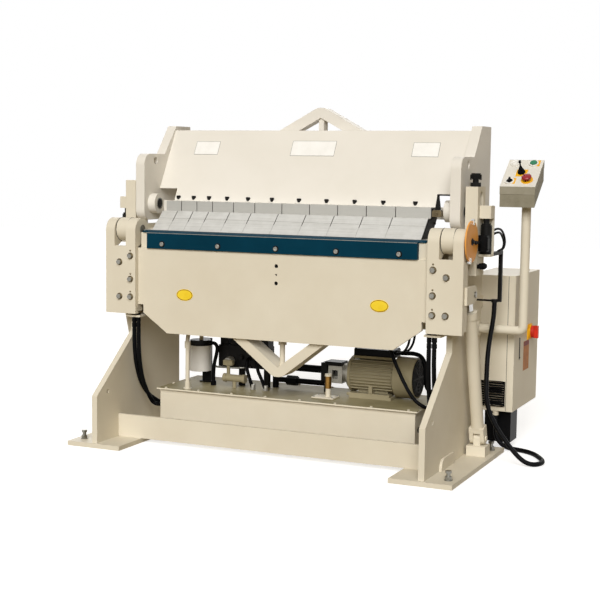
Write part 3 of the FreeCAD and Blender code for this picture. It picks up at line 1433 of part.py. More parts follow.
# Limit switch beside the angle disk, and the bar that carries its cable
def limit_switch():
    out, base = s.upright_out, s.pivot_z - 43
    plate_in = box((out, out + 40.5), (49, 54), (base, base + 62))
    case = box((out + 20.5, out + 44.5), (14, 50), (base, base + 62))
    lever_z = base + 38
    hole = rod("x", (30, lever_z), (out + 12.5, out + 26.5), 4 + s.fit_gap)
    node("limit_switch", cut(fuse(plate_in, case), hole))
    arm = fuse(
        rod("x", (30, lever_z), (out + 15.5, out + 20.2), 9),
        box((out + 16, out + 20), (-40, 30), (lever_z - 5, lever_z + 5)),
        rod("x", (30, lever_z), (out + 19.5, out + 25.5), 4),
        rod("x", (-40, lever_z), (out + 14.5, out + 20.5), 8),
    )
    node("limit_lever", arm)
    across = box((out + 30.5, out + 45.5), (s.shaft_y + 36, 260), (s.pivot_z - 65, s.pivot_z - 50))
    down = box((out + 30.5, out + 45.5), (245, 260), (658, s.pivot_z - 50))
    stay = rod("x", (252.5, 653), (s.side_in + s.side_thick, out + 45), 4)
    shoe = box((out + 10, out + 45.5), (247, 258), (649, 659))
    gland = rod("z", (out + 16.5, 252.5), (646, 659), 13)
    node("cable_bar", fuse(across, down, stay, shoe, gland))


# Signal conduit: hangs from the cable bar, loops over the floor and rises into the cabinet
CONDUIT = [
    (822, 252.5, 646),
    (822, 252.5, 602),
    (822, 228, 550),
    (826, 176, 490),
    (832, 134, 424),
    (837, 112, 352),
    (839, 106, 285),
    (848, 110, 228),
    (868, 118, 178),
    (896, 122, 132),
    (928, 124, 91),
    (956, 125, 58),
    (983, 128, 32),
    (1008, 134, 16),
    (1033, 147, 10.5),
    (1049, 170, 10.5),
    (1054, 198, 10.5),
    (1049, 226, 10.5),
    (1038, 253, 10.5),
    (1023, 280, 10.5),
    (1006, 309, 10.5),
    (984, 339, 10.5),
    (956, 364, 10.5),
    (924, 381, 10.5),
    (890, 391, 10.5),
    (860, 396, 12.5),
    (834, 397, 22.5),
    (814, 397, 42),
    (803, 396.5, 68),
    (801.5, 396, 98),
    (801, 396, 126),
    (801, 396, 150),
]


def conduit():
    node("signal_conduit", tube("signal_conduit", CONDUIT, s.conduit_rad))


for title, sign in SIDES:
    side_frame(title, sign)
rails()
bed()
for title, sign in SIDES:
    upright(title, sign)
clamp_hardware()
floor_anchors()
upper_beam()
beam_truss()
fingers()
apron()
apron_truss()
insert_bar()
for title, sign in SIDES:
    bearing_block(title, sign)
pins()
angle_disk()
bend_cylinders()
tank()
motor()
pump()
tank_fittings()
hoses()
cabinet()
pendant()
limit_switch()
conduit()

doc.recompute()
for obj in doc.Objects:
    if "Invalid" in obj.State or "Error" in obj.State:
        raise RuntimeError(f"{obj.Name} {obj.Label} failed: {obj.State}")
for label, obj in NODES:
    if obj.Shape.isNull() or not obj.Shape.isValid() or not obj.Shape.Solids:
        raise RuntimeError(f"{label} has no valid solid")
os.makedirs("parts", exist_ok=True)
for label, obj in NODES:
    obj.Shape.exportStep(f"parts/{label}.step")
print(f"{len(NODES)} sub-parts, {sum(len(obj.Shape.Solids) for label, obj in NODES)} solids")
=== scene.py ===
"""Looks of a hydraulic box and pan brake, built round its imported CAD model.

Lengths are millimetres in the frame of the part unless a name says metres: X along the bend
line, Y from the operator to the rear, Z up, origin on the floor.
"""

import logging
import math
from dataclasses import dataclass
from enum import Enum
from typing import Callable, Iterable, Sequence

import bpy
from mathutils import Matrix, Vector

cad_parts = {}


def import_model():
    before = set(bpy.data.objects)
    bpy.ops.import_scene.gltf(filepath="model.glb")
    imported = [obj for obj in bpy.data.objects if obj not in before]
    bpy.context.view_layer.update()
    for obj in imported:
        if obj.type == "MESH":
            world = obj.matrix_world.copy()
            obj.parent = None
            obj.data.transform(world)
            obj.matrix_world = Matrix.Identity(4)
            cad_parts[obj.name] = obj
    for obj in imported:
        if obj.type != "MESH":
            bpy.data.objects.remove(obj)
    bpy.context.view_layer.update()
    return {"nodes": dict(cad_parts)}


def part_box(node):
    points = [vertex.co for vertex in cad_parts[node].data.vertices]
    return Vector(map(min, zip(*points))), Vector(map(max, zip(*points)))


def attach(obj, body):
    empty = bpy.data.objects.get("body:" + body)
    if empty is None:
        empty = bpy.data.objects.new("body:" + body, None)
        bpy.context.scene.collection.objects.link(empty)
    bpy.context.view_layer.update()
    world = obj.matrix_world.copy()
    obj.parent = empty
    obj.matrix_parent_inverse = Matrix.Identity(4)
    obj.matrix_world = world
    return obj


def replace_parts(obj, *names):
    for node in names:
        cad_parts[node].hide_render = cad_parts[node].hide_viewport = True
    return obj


LOG = logging.getLogger("pan_brake")
MM = 0.001
# Y and Z of the bend line, which the apron turns about
BEND = (-75.0, 911.0)
Point = Sequence[float]
Outline = list[tuple[float, float]]
Spots = tuple[tuple[float, float], ...]
Socket = bpy.types.NodeSocket


# Colour and node helpers


def linear(code: str) -> tuple[float, float, float, float]:
    """Turn an sRGB hex colour into linear red, green, blue and alpha.

    Args:
        code: six hex digits with a leading hash sign.

    Returns:
        Four linear values for a colour socket.
    """
    values = [int(code[i : i + 2], 16) / 255 for i in (1, 3, 5)]
    flat = [v / 12.92 if v <= 0.04045 else ((v + 0.055) / 1.055) ** 2.4 for v in values]
    return (flat[0], flat[1], flat[2], 1.0)


def per_metre(size_mm: float) -> float:
    """Scale of a pattern whose features are size_mm across, for coordinates in metres."""
    return 1000.0 / size_mm


class Graph:
    """The shader node tree of one material, or of the world."""

    def __init__(self, name: str, tree: bpy.types.NodeTree | None = None) -> None:
        """Start an empty tree.

        Args:
            name: the material's name.
            tree: a world's tree to fill; a new material is made when it is left out.
        """
        self.material = None if tree else bpy.data.materials.new(name)
        if self.material:
            self.material.use_nodes = True
        self.tree = tree or self.material.node_tree
        self.tree.nodes.clear()
        self.output = self.tree.nodes.new("ShaderNodeOutputWorld" if tree else "ShaderNodeOutputMaterial")

    def add(
        self, kind: str, inputs: dict, wanted: int | str = 0, **settings: object
    ) -> Socket:
        """Add a node with its settings, values and links.

        Args:
            kind: the node's type name without ShaderNode before it.
            inputs: socket name or index to a value or to another node's output.
            wanted: index or name of the output that is asked for.
            settings: properties of the node itself.

        Returns:
            The output that is asked for.
        """
        node = self.tree.nodes.new("ShaderNode" + kind)
        for key, value in settings.items():
            setattr(node, key, value)
        for key, value in inputs.items():
            if isinstance(value, Socket):
                self.tree.links.new(value, node.inputs[key])
            else:
                node.inputs[key].default_value = value
        return node.outputs[wanted]

    def facing_up(self, low: float, high: float) -> Socket:
        """Share that rises from 0 to 1 as the upward part of a face's normal goes from low to high."""
        way = self.add("SeparateXYZ", {0: self.add("NewGeometry", {}, "Normal")}, "Z")
        return self.add("MapRange", {"Value": way, "From Min": low, "From Max": high})

    def finish(self, shader: Socket) -> bpy.types.Material | None:
        """Join a shader to the output and return the material, if there is one."""
        self.tree.links.new(shader, self.output.inputs["Surface"])
        return self.material


# Finishes

# sockets of the colour mix node: its share, its two colours and its result
SHARE, FIRST, SECOND, MIXED = 0, 6, 7, 2


class Grain(Enum):
    """Direction of the grinding lines on a metal, as how far the pattern is drawn out."""

    ALONG_X = (0.03, 1.0, 1.0)
    ALONG_Z = (1.0, 1.0, 0.03)
    NONE = (1.0, 1.0, 1.0)


@dataclass(frozen=True)
class Skin:
    """What every finish shares: two close colours in patches, a gloss and a fine relief."""

    name: str
    colour: str
    shade: str
    roughness: float = 0.42
    specular: float = 0.3
    flank: str = ""

    def patches(
        self, g: Graph, pattern: Socket, low: float, high: float
    ) -> Socket:
        """Go from one colour to the other where a pattern rises from low to high.

        Args:
            g: the graph to build in.
            pattern: the pattern that parts the two colours.
            low: where only the first colour shows.
            high: where only the second colour shows.

        Returns:
            The mixed colour.
        """
        share = g.add("MapRange", {"Value": pattern, "From Min": low, "From Max": high})
        colours = {SHARE: share, FIRST: linear(self.colour), SECOND: linear(self.shade)}
        return g.add("Mix", colours, MIXED, data_type="RGBA")

    def joined(
        self, g: Graph, sockets: dict, relief: dict, edge: Socket | None = None
    ) -> bpy.types.Material:
        """Join colour, gloss and relief in one shader over slightly rounded edges.

        Args:
            g: the graph to build in.
            sockets: what goes into the shader.
            relief: pattern, strength and depth of the relief.
            edge: normal of the rounded edges, or none for 0.8 mm ones.

        Returns:
            The material.
        """
        soft = edge or g.add("Bevel", {"Radius": 0.8 * MM}, samples=4)
        bump = g.add("Bump", {**relief, "Normal": soft})
        shader = {"Specular IOR Level": self.specular, "Normal": bump, **sockets}
        return g.finish(g.add("BsdfPrincipled", shader))


@dataclass(frozen=True)
class Enamel(Skin):
    """Sprayed two-part enamel on smoothed steel plate: soft sheen, faint orange peel, rubbed edges."""

    specular: float = 0.09
    peel: float = 0.12
    wear: str = "#e6dfcc"

    def material(self) -> bpy.types.Material:
        """Build the enamel's material.

        Returns:
            The material, named for the finish.
        """
        g = Graph(self.name)
        place = g.add("TexCoord", {}, "Object")
        # broad cloudiness of hand spraying, patches of about 220 mm
        cloud = g.add("TexNoise", {"Vector": place, "Scale": per_metre(220), "Detail": 4, "Roughness": 0.55})
        # dust nibs and wiped film, spots of about 14 mm
        film = g.add("TexNoise", {"Vector": place, "Scale": per_metre(14), "Detail": 3, "Roughness": 0.6})
        base = self.patches(g, cloud, 0.35, 0.68)
        if self.flank:
            # painted shade: faces that lie flat keep the patch colours and upright faces take the flank
            # colour; on the tank lid the flat faces are the darker ones, for the shade they lie in
            colours = {SHARE: g.facing_up(0.4, 0.2), FIRST: base, SECOND: linear(self.flank)}
            base = g.add("Mix", colours, MIXED, data_type="RGBA")
        # the film thins where plates meet at an edge, so edges read a touch lighter
        soft = g.add("Bevel", {"Radius": 1.6 * MM}, samples=4)
        true = g.add("NewGeometry", {}, "Normal")
        turn = g.add("VectorMath", {0: soft, 1: true}, "Value", operation="DOT_PRODUCT")
        edge = g.add("MapRange", {"Value": turn, "From Min": 0.995, "From Max": 0.90, "To Max": 0.55})
        rubbed = {SHARE: edge, FIRST: base, SECOND: linear(self.wear)}
        gloss = {"Value": film, "To Min": self.roughness - 0.06, "To Max": self.roughness + 0.08}
        # orange peel is 2 to 3 mm across; drawn at 9 mm so that it shows at this distance
        peel = g.add("TexNoise", {"Vector": place, "Scale": per_metre(9), "Detail": 1.5})
        sockets = {
            "Base Color": g.add("Mix", rubbed, MIXED, data_type="RGBA"),
            "Roughness": g.add("MapRange", gloss),
            "IOR": 1.5,
        }
        return self.joined(g, sockets, {"Strength": self.peel, "Distance": 0.5 * MM, "Height": peel}, soft)


@dataclass(frozen=True)
class Metal(Skin):
    """Bare, plated or blackened steel and other metals with their machining lines."""

    roughness: float = 0.3
    specular: float = 0.5
    grain: Grain = Grain.NONE
    line: float = 6.0
    metallic: float = 1.0
    relief: float = 0.08

    def material(self) -> bpy.types.Material:
        """Build the metal's material.

        Returns:
            The material, named for the finish.
        """
        g = Graph(self.name)
        place = g.add("TexCoord", {}, "Object")
        drawn = g.add("Mapping", {"Vector": place, "Scale": self.grain.value})
        # grinding or turning marks are tenths of a millimetre; drawn as wide as self.line to show
        scale = per_metre(self.line)
        lines = g.add("TexNoise", {"Vector": drawn, "Scale": scale, "Detail": 3, "Roughness": 0.7})
        # oil film and handling marks, patches of about 45 mm
        stain = g.add("TexNoise", {"Vector": place, "Scale": per_metre(45), "Detail": 4, "Roughness": 0.6})
        tint = self.patches(g, g.add("Math", {0: lines, 1: stain}, operation="MULTIPLY"), 0.12, 0.42)
        if self.flank:
            # painted shade: upright faces are darkened towards the flank colour, as they catch less light
            # than the sloping ones
            share = g.add("Math", {0: g.facing_up(0.4, 0.2), 1: 0.85}, operation="MULTIPLY")
            colours = {SHARE: share, FIRST: tint, SECOND: linear(self.flank)}
            tint = g.add("Mix", colours, MIXED, data_type="RGBA")
        low, high = max(0.03, self.roughness - 0.08), self.roughness + 0.1
        gloss = {"Value": lines, "From Min": 0.3, "From Max": 0.7, "To Min": low, "To Max": high}
        sockets = {
            "Base Color": tint,
            "Metallic": self.metallic,
            "Roughness": g.add("MapRange", gloss),
        }
        return self.joined(g, sockets, {"Strength": self.relief, "Distance": 0.2 * MM, "Height": lines})


@dataclass(frozen=True)
class Moulding(Skin):
    """Moulded plastic or rubber: an even colour with a fine mould texture and slight mottling."""

    roughness: float = 0.45
    texture: float = 5.0
    relief: float = 0.15
    coat: float = 0.0
    crown: str = ""

    def material(self) -> bpy.types.Material:
        """Build the moulding's material.

        Returns:
            The material, named for the finish.
        """
        g = Graph(self.name)
        place = g.add("TexCoord", {}, "Object")
        # mould texture is below a millimetre; drawn as coarse as self.texture so that it shows
        fine = g.add("TexNoise", {"Vector": place, "Scale": per_metre(self.texture), "Detail": 2})
        # flow marks and dust, patches of about 40 mm
        flow = g.add("TexNoise", {"Vector": place, "Scale": per_metre(40), "Detail": 3, "Roughness": 0.6})
        tint = self.patches(g, flow, 0.35, 0.7)
        if self.crown:
            # the lid is drawn pale where it faces up and keeps the grey on its sides
            colours = {SHARE: g.facing_up(0.62, 0.7), FIRST: tint, SECOND: linear(self.crown)}
            tint = g.add("Mix", colours, MIXED, data_type="RGBA")
        low, high = max(0.05, self.roughness - 0.07), self.roughness + 0.09
        sockets = {
            "Base Color": tint,
            "Roughness": g.add("MapRange", {"Value": fine, "To Min": low, "To Max": high}),
            "IOR": 1.5,
            "Coat Weight": self.coat,
        }
        return self.joined(g, sockets, {"Strength": self.relief, "Distance": 0.25 * MM, "Height": fine})


class Finish(Enum):
    """Every finish on the machine, named for the real material."""

    # sprayed cream enamel: a warm satin skin with faint clouds
    CREAM = Enamel("cream_enamel", "#dbd3c0", "#d6cdb9")
    # a lit copy of the cream enamel for the beam: painted paler for the light on its leaning face, and a
    # little glossier
    BEAM_CREAM = Enamel("beam_cream_enamel_lit", "#e2ddd3", "#ded9ce", 0.38)
    # the lid is painted dark olive on its flat faces for the shade and dark reflections under the apron,
    # while its upright faces and edges stay pale
    LID_CREAM = Enamel(
        "gloss_cream_enamel_shaded", "#9a9070", "#7f7656", 0.5, 0.05, "#e0d8c4", peel=0.06, wear="#e4dcc6"
    )
    # baked white enamel of the filter canister: bright and smooth
    WHITE_ENAMEL = Enamel("white_filter_enamel", "#e2dfd9", "#d5d1c9", 0.3, wear="#efede8")
    # dark teal enamel: deep and nearly without shine, lighter where edges are rubbed
    TEAL = Enamel("teal_enamel", "#07374a", "#052f40", specular=0.03, wear="#1c5568")
    # amber enamel of the angle disk: flat and warm
    AMBER = Enamel("amber_enamel", "#efaa55", "#d88f40", 0.36, wear="#dfae6e")
    # olive grey enamel of the motor: dull, with pale worn fins
    MOTOR = Enamel("olive_grey_motor_enamel", "#a0967a", "#8d8468", 0.4, wear="#b8af92")
    # ground tool steel: silvery with fine lines along X, painted darker on its upright faces for their shade
    GROUND_STEEL = Metal(
        "ground_tool_steel", "#d3d1cb", "#c1bfb8", 0.42, flank="#a6a49d",
        grain=Grain.ALONG_X, line=7.0, metallic=0.66,
    )
    # zinc plating: light grey and half shiny
    BRIGHT_STEEL = Metal("zinc_plated_steel", "#9c9a92", "#75736c")
    # hard chrome: a clear mirror with hardly any marks
    CHROME = Metal("hard_chrome", "#cfcfcd", "#bdbdba", 0.12, grain=Grain.ALONG_Z, line=5.0, relief=0.02)
    # browned steel: dark brown and dull, as oiled washers are; on the block washers its darkness also paints
    # the shadow round the bolt heads
    DULL_STEEL = Metal("browned_steel", "#6f6249", "#544935", 0.4, metallic=0.8)
    # black oxide: nearly black, with a weak sheen
    BLACK_STEEL = Metal("black_oxide_steel", "#100f0e", "#1a1917", 0.45, 0.1, metallic=0.0)
    # machined brass: a dull yellow metal
    BRASS = Metal("machined_brass", "#a07a40", "#735227", 0.35)
    # bead-blasted aluminium: pale and grainy
    CASTING = Metal(
        "bead_blasted_aluminium_casting", "#b3b0a6", "#8a877d", 0.5, line=4.0, metallic=0.7, relief=0.3
    )
    # light grey ABS of the pendant box: even, with a fine mould texture
    GREY_ABS = Moulding("light_grey_abs", "#8d8775", "#827c69", 0.5, 0.1)
    # its lid: the same grey at the sides, drawn pale where it faces up
    LID_ABS = Moulding("two_tone_lid_abs", "#979180", "#8c8673", 0.5, 0.1, crown="#dcd8ce")
    # black ABS: deep black with a soft sheen
    BLACK_ABS = Moulding("black_abs", "#0a0a0b", "#111112", 0.4, 0.06)
    # hose rubber: black, dull and slightly rough
    HOSE = Moulding("black_hose_rubber", "#070708", "#0d0d0e", 0.45, 0.05, relief=0.3)
    # conduit nylon: black and a little shinier than the hoses
    NYLON = Moulding("black_nylon_conduit", "#060607", "#0c0c0e", 0.36, 0.07)
    # coated button plastics: clear colours under a thin gloss
    SIGNAL_RED = Moulding("signal_red_abs", "#d8331d", "#c42c18", 0.35, coat=0.2)
    GREEN = Moulding("green_abs", "#0c7a50", "#0a6b46", 0.3, coat=0.2)
    RED = Moulding("red_abs", "#96121a", "#820f16", 0.28, coat=0.3)
    # yellow ABS: a full, warm yellow with little shine
    YELLOW = Moulding("yellow_abs", "#f0b524", "#e6a81c", 0.42, 0.15)
    # vinyl labels and ink: flat colours without depth
    LEMON = Moulding("lemon_label_vinyl", "#f3d53c", "#ebc92f", 0.45, 0.12)
    ORANGE = Moulding("orange_label_vinyl", "#b5732f", "#9c5f25", 0.5, 0.1)
    OXBLOOD = Moulding("oxblood_label_vinyl", "#7a2a18", "#682313", 0.5, 0.1)
    WHITE_PLATE = Moulding("white_plate_vinyl", "#f1efea", "#eae8e2", 0.42, 0.15)
    LINE_GREY = Moulding("grey_border_ink", "#8f8d88", "#807e79", 0.5, 0.1)
    # white acrylic: bright and glossy
    LENS = Moulding("white_lens_acrylic", "#ebe8e1", "#e0ddd5", 0.22, coat=0.4)

    def made(self) -> bpy.types.Material:
        """Give the finish's material, built on first use."""
        return bpy.data.materials.get(self.value.name) or self.value.material()


# Mesh helpers


def frame_at(origin: Point, along: Point, across: Point = (1, 0, 0)) -> Matrix:
    """Matrix that puts local Z on a direction and local X near another.

    Args:
        origin: where the local origin goes.
        along: direction of local Z.
        across: direction that local X leans to.

    Returns:
        A 4 by 4 matrix.
    """
    z = Vector(along).normalized()
    x = Vector(across) - z * Vector(across).dot(z)
    if x.length < 1e-6:
        x = z.orthogonal()
    x.normalize()
    y = z.cross(x)
    turned = Matrix((x, y, z)).transposed().to_4x4()
    return Matrix.Translation(Vector(origin)) @ turned


def inset(outline: Sequence[Point], depth: float) -> Outline:
    """Move a closed outline inwards by an even depth.

    Args:
        outline: corner points, anticlockwise.
        depth: how far each side moves.

    Returns:
        The moved corner points.
    """
    out = []
    count = len(outline)
    for i in range(count):
        a, b, c = (Vector(outline[(i + k) % count][:2]) for k in (-1, 0, 1))
        u, v = (b - a).normalized(), (c - b).normalized()
        n1, n2 = Vector((-u.y, u.x)), Vector((-v.y, v.x))
        lean = (n1 + n2) / max(0.2, 1 + n1.dot(n2))
        moved = b + lean * depth
        out.append((moved.x, moved.y))
    return out


def rounded(width: float, height: float, radius: float, steps: int = 4) -> Outline:
    """Outline of a rectangle with round corners, centred on the origin.

    Args:
        width: full size along the first axis.
        height: full size along the second axis.
        radius: corner radius.
        steps: straight pieces in each corner.

    Returns:
        Points, anticlockwise.
    """
    points = []
    for i, (sx, sy) in enumerate(((1, 1), (-1, 1), (-1, -1), (1, -1))):
        for k in range(steps + 1):
            turn = math.radians(90 * (i + k / steps))
            x = sx * (width / 2 - radius) + radius * math.cos(turn)
            points.append((x, sy * (height / 2 - radius) + radius * math.sin(turn)))
    return points


def polygon(radius: float, sides: int, turn: float = 0.0, squash: float = 1.0) -> Outline:
    """Outline of a regular polygon, or of an ellipse when squash is not 1.

    Args:
        radius: distance from the middle to a corner.
        sides: number of corners.
        turn: angle of the first corner in degrees.
        squash: height of the outline in shares of its width.

    Returns:
        Points, anticlockwise.
    """
    turns = [math.radians(turn + 360 * i / sides) for i in range(sides)]
    return [(radius * math.cos(a), radius * squash * math.sin(a)) for a in turns]


def level(outline: Sequence[Point], height: float) -> list[Point]:
    """Ring of 3-D points at a height."""
    return [(x, y, height) for x, y in outline]


def placed(name: str, data: bpy.types.ID) -> bpy.types.Object:
    """Make an object from its data and put it in the scene.

    Args:
        name: the object's name.
        data: the mesh, curve, camera or lamp that it shows.

    Returns:
        The new object.
    """
    thing = bpy.data.objects.new(name, data)
    bpy.context.scene.collection.objects.link(thing)
    return thing


class Piece:
    """One visible piece: closed shells in millimetres, gathered and then made into an object."""

    def __init__(self, name: str) -> None:
        """Start an empty piece.

        Args:
            name: the object's name.
        """
        self.name = name
        self.points: list[Vector] = []
        self.faces: list[tuple[int, ...]] = []

    def loft(
        self, rings: Sequence[Sequence[Point]], place: Matrix | None = None, loop: bool = False
    ) -> "Piece":
        """Skin rings of equal count, with flat ends unless the rings close on themselves.

        Args:
            rings: rings of 3-D points, each in the same sense.
            place: matrix applied to every point.
            loop: whether the last ring joins the first.

        Returns:
            The piece, so that calls chain.
        """
        place = place or Matrix.Identity(4)
        start = len(self.points)
        count = len(rings[0])
        for ring in rings:
            self.points.extend(place @ Vector(p) for p in ring)
        total = len(rings)
        for i in range(total if loop else total - 1):
            a, b = start + i * count, start + ((i + 1) % total) * count
            for k in range(count):
                n = (k + 1) % count
                self.faces.append((a + k, a + n, b + n, b + k))
        if not loop:
            self.faces.append(tuple(reversed(range(start, start + count))))
            last = start + (total - 1) * count
            self.faces.append(tuple(range(last, last + count)))
        return self

    def prism(
        self, outline: Sequence[Point], low: float, high: float, place: Matrix, chamfer: float = 0.0
    ) -> "Piece":
        """Add a prism along local Z with small chamfers at both ends.

        Args:
            outline: corner points, anticlockwise.
            low: height of one end.
            high: height of the other end.
            place: matrix applied to the prism.
            chamfer: size of the chamfers, or 0 for none.

        Returns:
            The piece.
        """
        steps = ((outline, low), (outline, high))
        if chamfer > 0:
            small = inset(outline, chamfer)
            steps = ((small, low), (outline, low + chamfer), (outline, high - chamfer), (small, high))
        return self.loft([level(shape, z) for shape, z in steps], place)

    def turned(self, profile: Sequence[Point], place: Matrix, sides: int = 32, loop: bool = False) -> "Piece":
        """Add a shape turned about local Z.

        Args:
            profile: radius and height pairs, rising; a radius of 0 is drawn as a tiny one.
            place: matrix applied to the shape.
            sides: pieces round the circle.
            loop: whether the profile closes on itself, as in a ring.

        Returns:
            The piece.
        """
        rings = [level(polygon(max(radius, 0.02), sides), z) for radius, z in profile]
        return self.loft(rings, place, loop)

    def band(
        self, outer: Sequence[Point], inner: Sequence[Point], low: float, high: float, place: Matrix
    ) -> "Piece":
        """Add a flat ring between two outlines of equal count.

        Args:
            outer: outline of the rim.
            inner: outline of the hole.
            low: height of the underside.
            high: height of the top.
            place: matrix applied to the ring.

        Returns:
            The piece.
        """
        steps = ((outer, low), (outer, high), (inner, high), (inner, low))
        return self.loft([level(shape, z) for shape, z in steps], place, True)

    def tube(
        self, line: Sequence[Point], radius: Callable[[int], float] | float, sides: int = 16
    ) -> "Piece":
        """Add a round tube along a line of points, kept free of twist.

        Args:
            line: points of the centre line.
            radius: one radius, or a function of the point's number.
            sides: pieces round the tube.

        Returns:
            The piece.
        """
        spots = [Vector(p) for p in line]
        up = (spots[1] - spots[0]).orthogonal().normalized()
        rings = []
        for i, here in enumerate(spots):
            ahead = spots[min(i + 1, len(spots) - 1)] - spots[max(i - 1, 0)]
            ahead.normalize()
            up = (up - ahead * up.dot(ahead)).normalized()
            side = ahead.cross(up)
            r = radius(i) if callable(radius) else radius
            rings.append([here + up * (r * x) + side * (r * y) for x, y in polygon(1, sides)])
        return self.loft(rings)

    def make(
        self, finish: Finish, slot: str, body: str = "frame", bevel: float = 0.0, sharp: float = 35.0
    ) -> bpy.types.Object:
        """Turn the gathered shells into an object that rides on a body.

        Args:
            finish: the finish it wears.
            slot: the record's material slot; not used.
            body: the CAD body it moves with.
            bevel: width of softened edges, or 0 for none.
            sharp: angle above which an edge stays sharp.

        Returns:
            The new object.
        """
        mesh = bpy.data.meshes.new(self.name)
        mesh.from_pydata([p * MM for p in self.points], [], self.faces)
        mesh.validate()
        mesh.polygons.foreach_set("use_smooth", [True] * len(mesh.polygons))
        mesh.set_sharp_from_angle(angle=math.radians(sharp))
        mesh.materials.append(finish.made())
        obj = placed(self.name, mesh)
        if bevel > 0:
            soft = obj.modifiers.new("soft_edges", "BEVEL")
            soft.width = bevel * MM
            soft.segments = 2
            soft.limit_method = "ANGLE"
            soft.angle_limit = math.radians(sharp)
            soft.harden_normals = True
        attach(obj, body)
        LOG.info("piece %s on %s", self.name, body)
        return obj


def upright(x: float, y: float, z: float) -> Matrix:
    """Place whose local Z points up."""
    return frame_at((x, y, z), (0, 0, 1))


def facing(x: float, y: float, z: float) -> Matrix:
    """Place whose local Z looks to the operator."""
    return frame_at((x, y, z), (0, -1, 0))


def outward(x: float, y: float, z: float, side: int = 1) -> Matrix:
    """Place whose local Z looks along X, to the right unless side is -1, and whose local X is Y."""
    return frame_at((x, y, z), (side, 0, 0), (0, 1, 0))


def six(radius: float, sides: int = 24) -> Outline:
    """Outline of a hexagon, drawn with more points than six so that it can join a circle.

    Args:
        radius: distance from the middle to a corner.
        sides: points round the outline.

    Returns:
        Points, anticlockwise.
    """
    flat = radius * math.cos(math.radians(30))
    out = []
    for i in range(sides):
        turn = 2 * math.pi * i / sides
        lean = (turn % (math.pi / 3)) - math.pi / 6
        reach = flat / math.cos(lean)
        out.append((reach * math.cos(turn), reach * math.sin(turn)))
    return out


def cap_screw(piece: Piece, place: Matrix, radius: float, height: float, socket: float = 0.0) -> None:
    """Add a round head with a chamfer and, when socket is given, a hexagon recess.

    Args:
        piece: the piece it is added to.
        place: matrix of the face it stands on.
        radius: radius of the head.
        height: height of the head.
        socket: radius of the recess over its corners, or 0 for none.
    """
    edge = 0.12 * radius
    steps = ((radius, 0), (radius, height - edge), (radius - edge, height))
    rings = [level(polygon(r, 24), z) for r, z in steps]
    if socket:
        rings += [level(six(socket), z) for z in (height, height * 0.45)]
        rings.append(level(polygon(0.05, 24), height * 0.4))
    piece.loft(rings, place)


def nut(piece: Piece, place: Matrix, across: float, height: float) -> None:
    """Add a hexagon head with its corners turned off.

    Args:
        piece: the piece it is added to.
        place: matrix of the face it stands on.
        across: width over its corners.
        height: height of the head.
    """
    rings = [level(six(across / 2), z) for z in (0, height * 0.82)]
    rings.append(level(polygon(across * 0.44, 24), height))
    piece.loft(rings, place)


def boxed(half_x: float, half_y: float, sides: int = 40) -> Outline:
    """Rectangle drawn with evenly turned points, so that it can join a circle.

    Args:
        half_x: half the size along the first axis.
        half_y: half the size along the second axis.
        sides: points round the outline.

    Returns:
        Points, anticlockwise.
    """
    out = []
    for x, y in polygon(1, sides):
        reach = min(half_x / max(abs(x), 1e-6), half_y / max(abs(y), 1e-6))
        out.append((x * reach, y * reach))
    return out


def smooth(line: Sequence[Point], steps: int = 8) -> list[Vector]:
    """Round a line of points off into a smooth curve that still passes through them.

    Args:
        line: points of the centre line.
        steps: new points for each run.

    Returns:
        Points of the curve.
    """
    spots = [Vector(p) for p in line]
    ends = [2 * spots[0] - spots[1], *spots, 2 * spots[-1] - spots[-2]]
    out = []
    for a, b, c, d in zip(ends, ends[1:], ends[2:], ends[3:]):
        for i in range(steps):
            t = i / steps
            out.append(
                b + (c - a) * (t / 2) + (a - b * 2.5 + c * 2 - d * 0.5) * t**2
                + (b * 1.5 - a * 0.5 - c * 1.5 + d * 0.5) * t**3
            )
    return out + [spots[-1]]


def dress(nodes: dict[str, bpy.types.Object], finishes: dict[Finish, str]) -> None:
    """Give CAD nodes their finishes through their material slots.

    Args:
        nodes: CAD node objects by name.
        finishes: names of the nodes that wear a finish, with blanks between them.
    """
    for finish, names in finishes.items():
        for name in names.split():
            for slot in nodes[name].material_slots:
                slot.material = finish.made()
            LOG.info("node %s wears %s", name, finish.value.name)


# Camera and studio


@dataclass(frozen=True)
class Camera:
    """The photograph's camera, solved from the finger widths."""

    place: tuple[float, float, float] = (2249.58, -4897.17, 1203.24)
    lens: float = 77.57
    sensor: float = 36.0
    yaw: float = 24.095
    pitch: float = -6.027
    roll: float = 0.731

    def build(self) -> None:
        """Create the camera and make it the scene's."""
        yaw, pitch, roll = (math.radians(v) for v in (self.yaw, self.pitch, self.roll))
        level_part = math.cos(pitch)
        ahead = Vector((-math.sin(yaw) * level_part, math.cos(yaw) * level_part, math.sin(pitch)))
        right = Vector((math.cos(yaw), math.sin(yaw), 0))
        up = right.cross(ahead)
        x = math.cos(roll) * right + math.sin(roll) * up
        y = -math.sin(roll) * right + math.cos(roll) * up
        data = bpy.data.cameras.new("photograph_camera")
        data.lens, data.sensor_width = self.lens, self.sensor
        data.clip_end = 100
        camera = placed("photograph_camera", data)
        turned = Matrix((x, y, -ahead)).transposed().to_4x4()
        camera.matrix_world = Matrix.Translation(Vector(self.place) * MM) @ turned
        bpy.context.scene.camera = camera
        LOG.info("camera at %s", self.place)


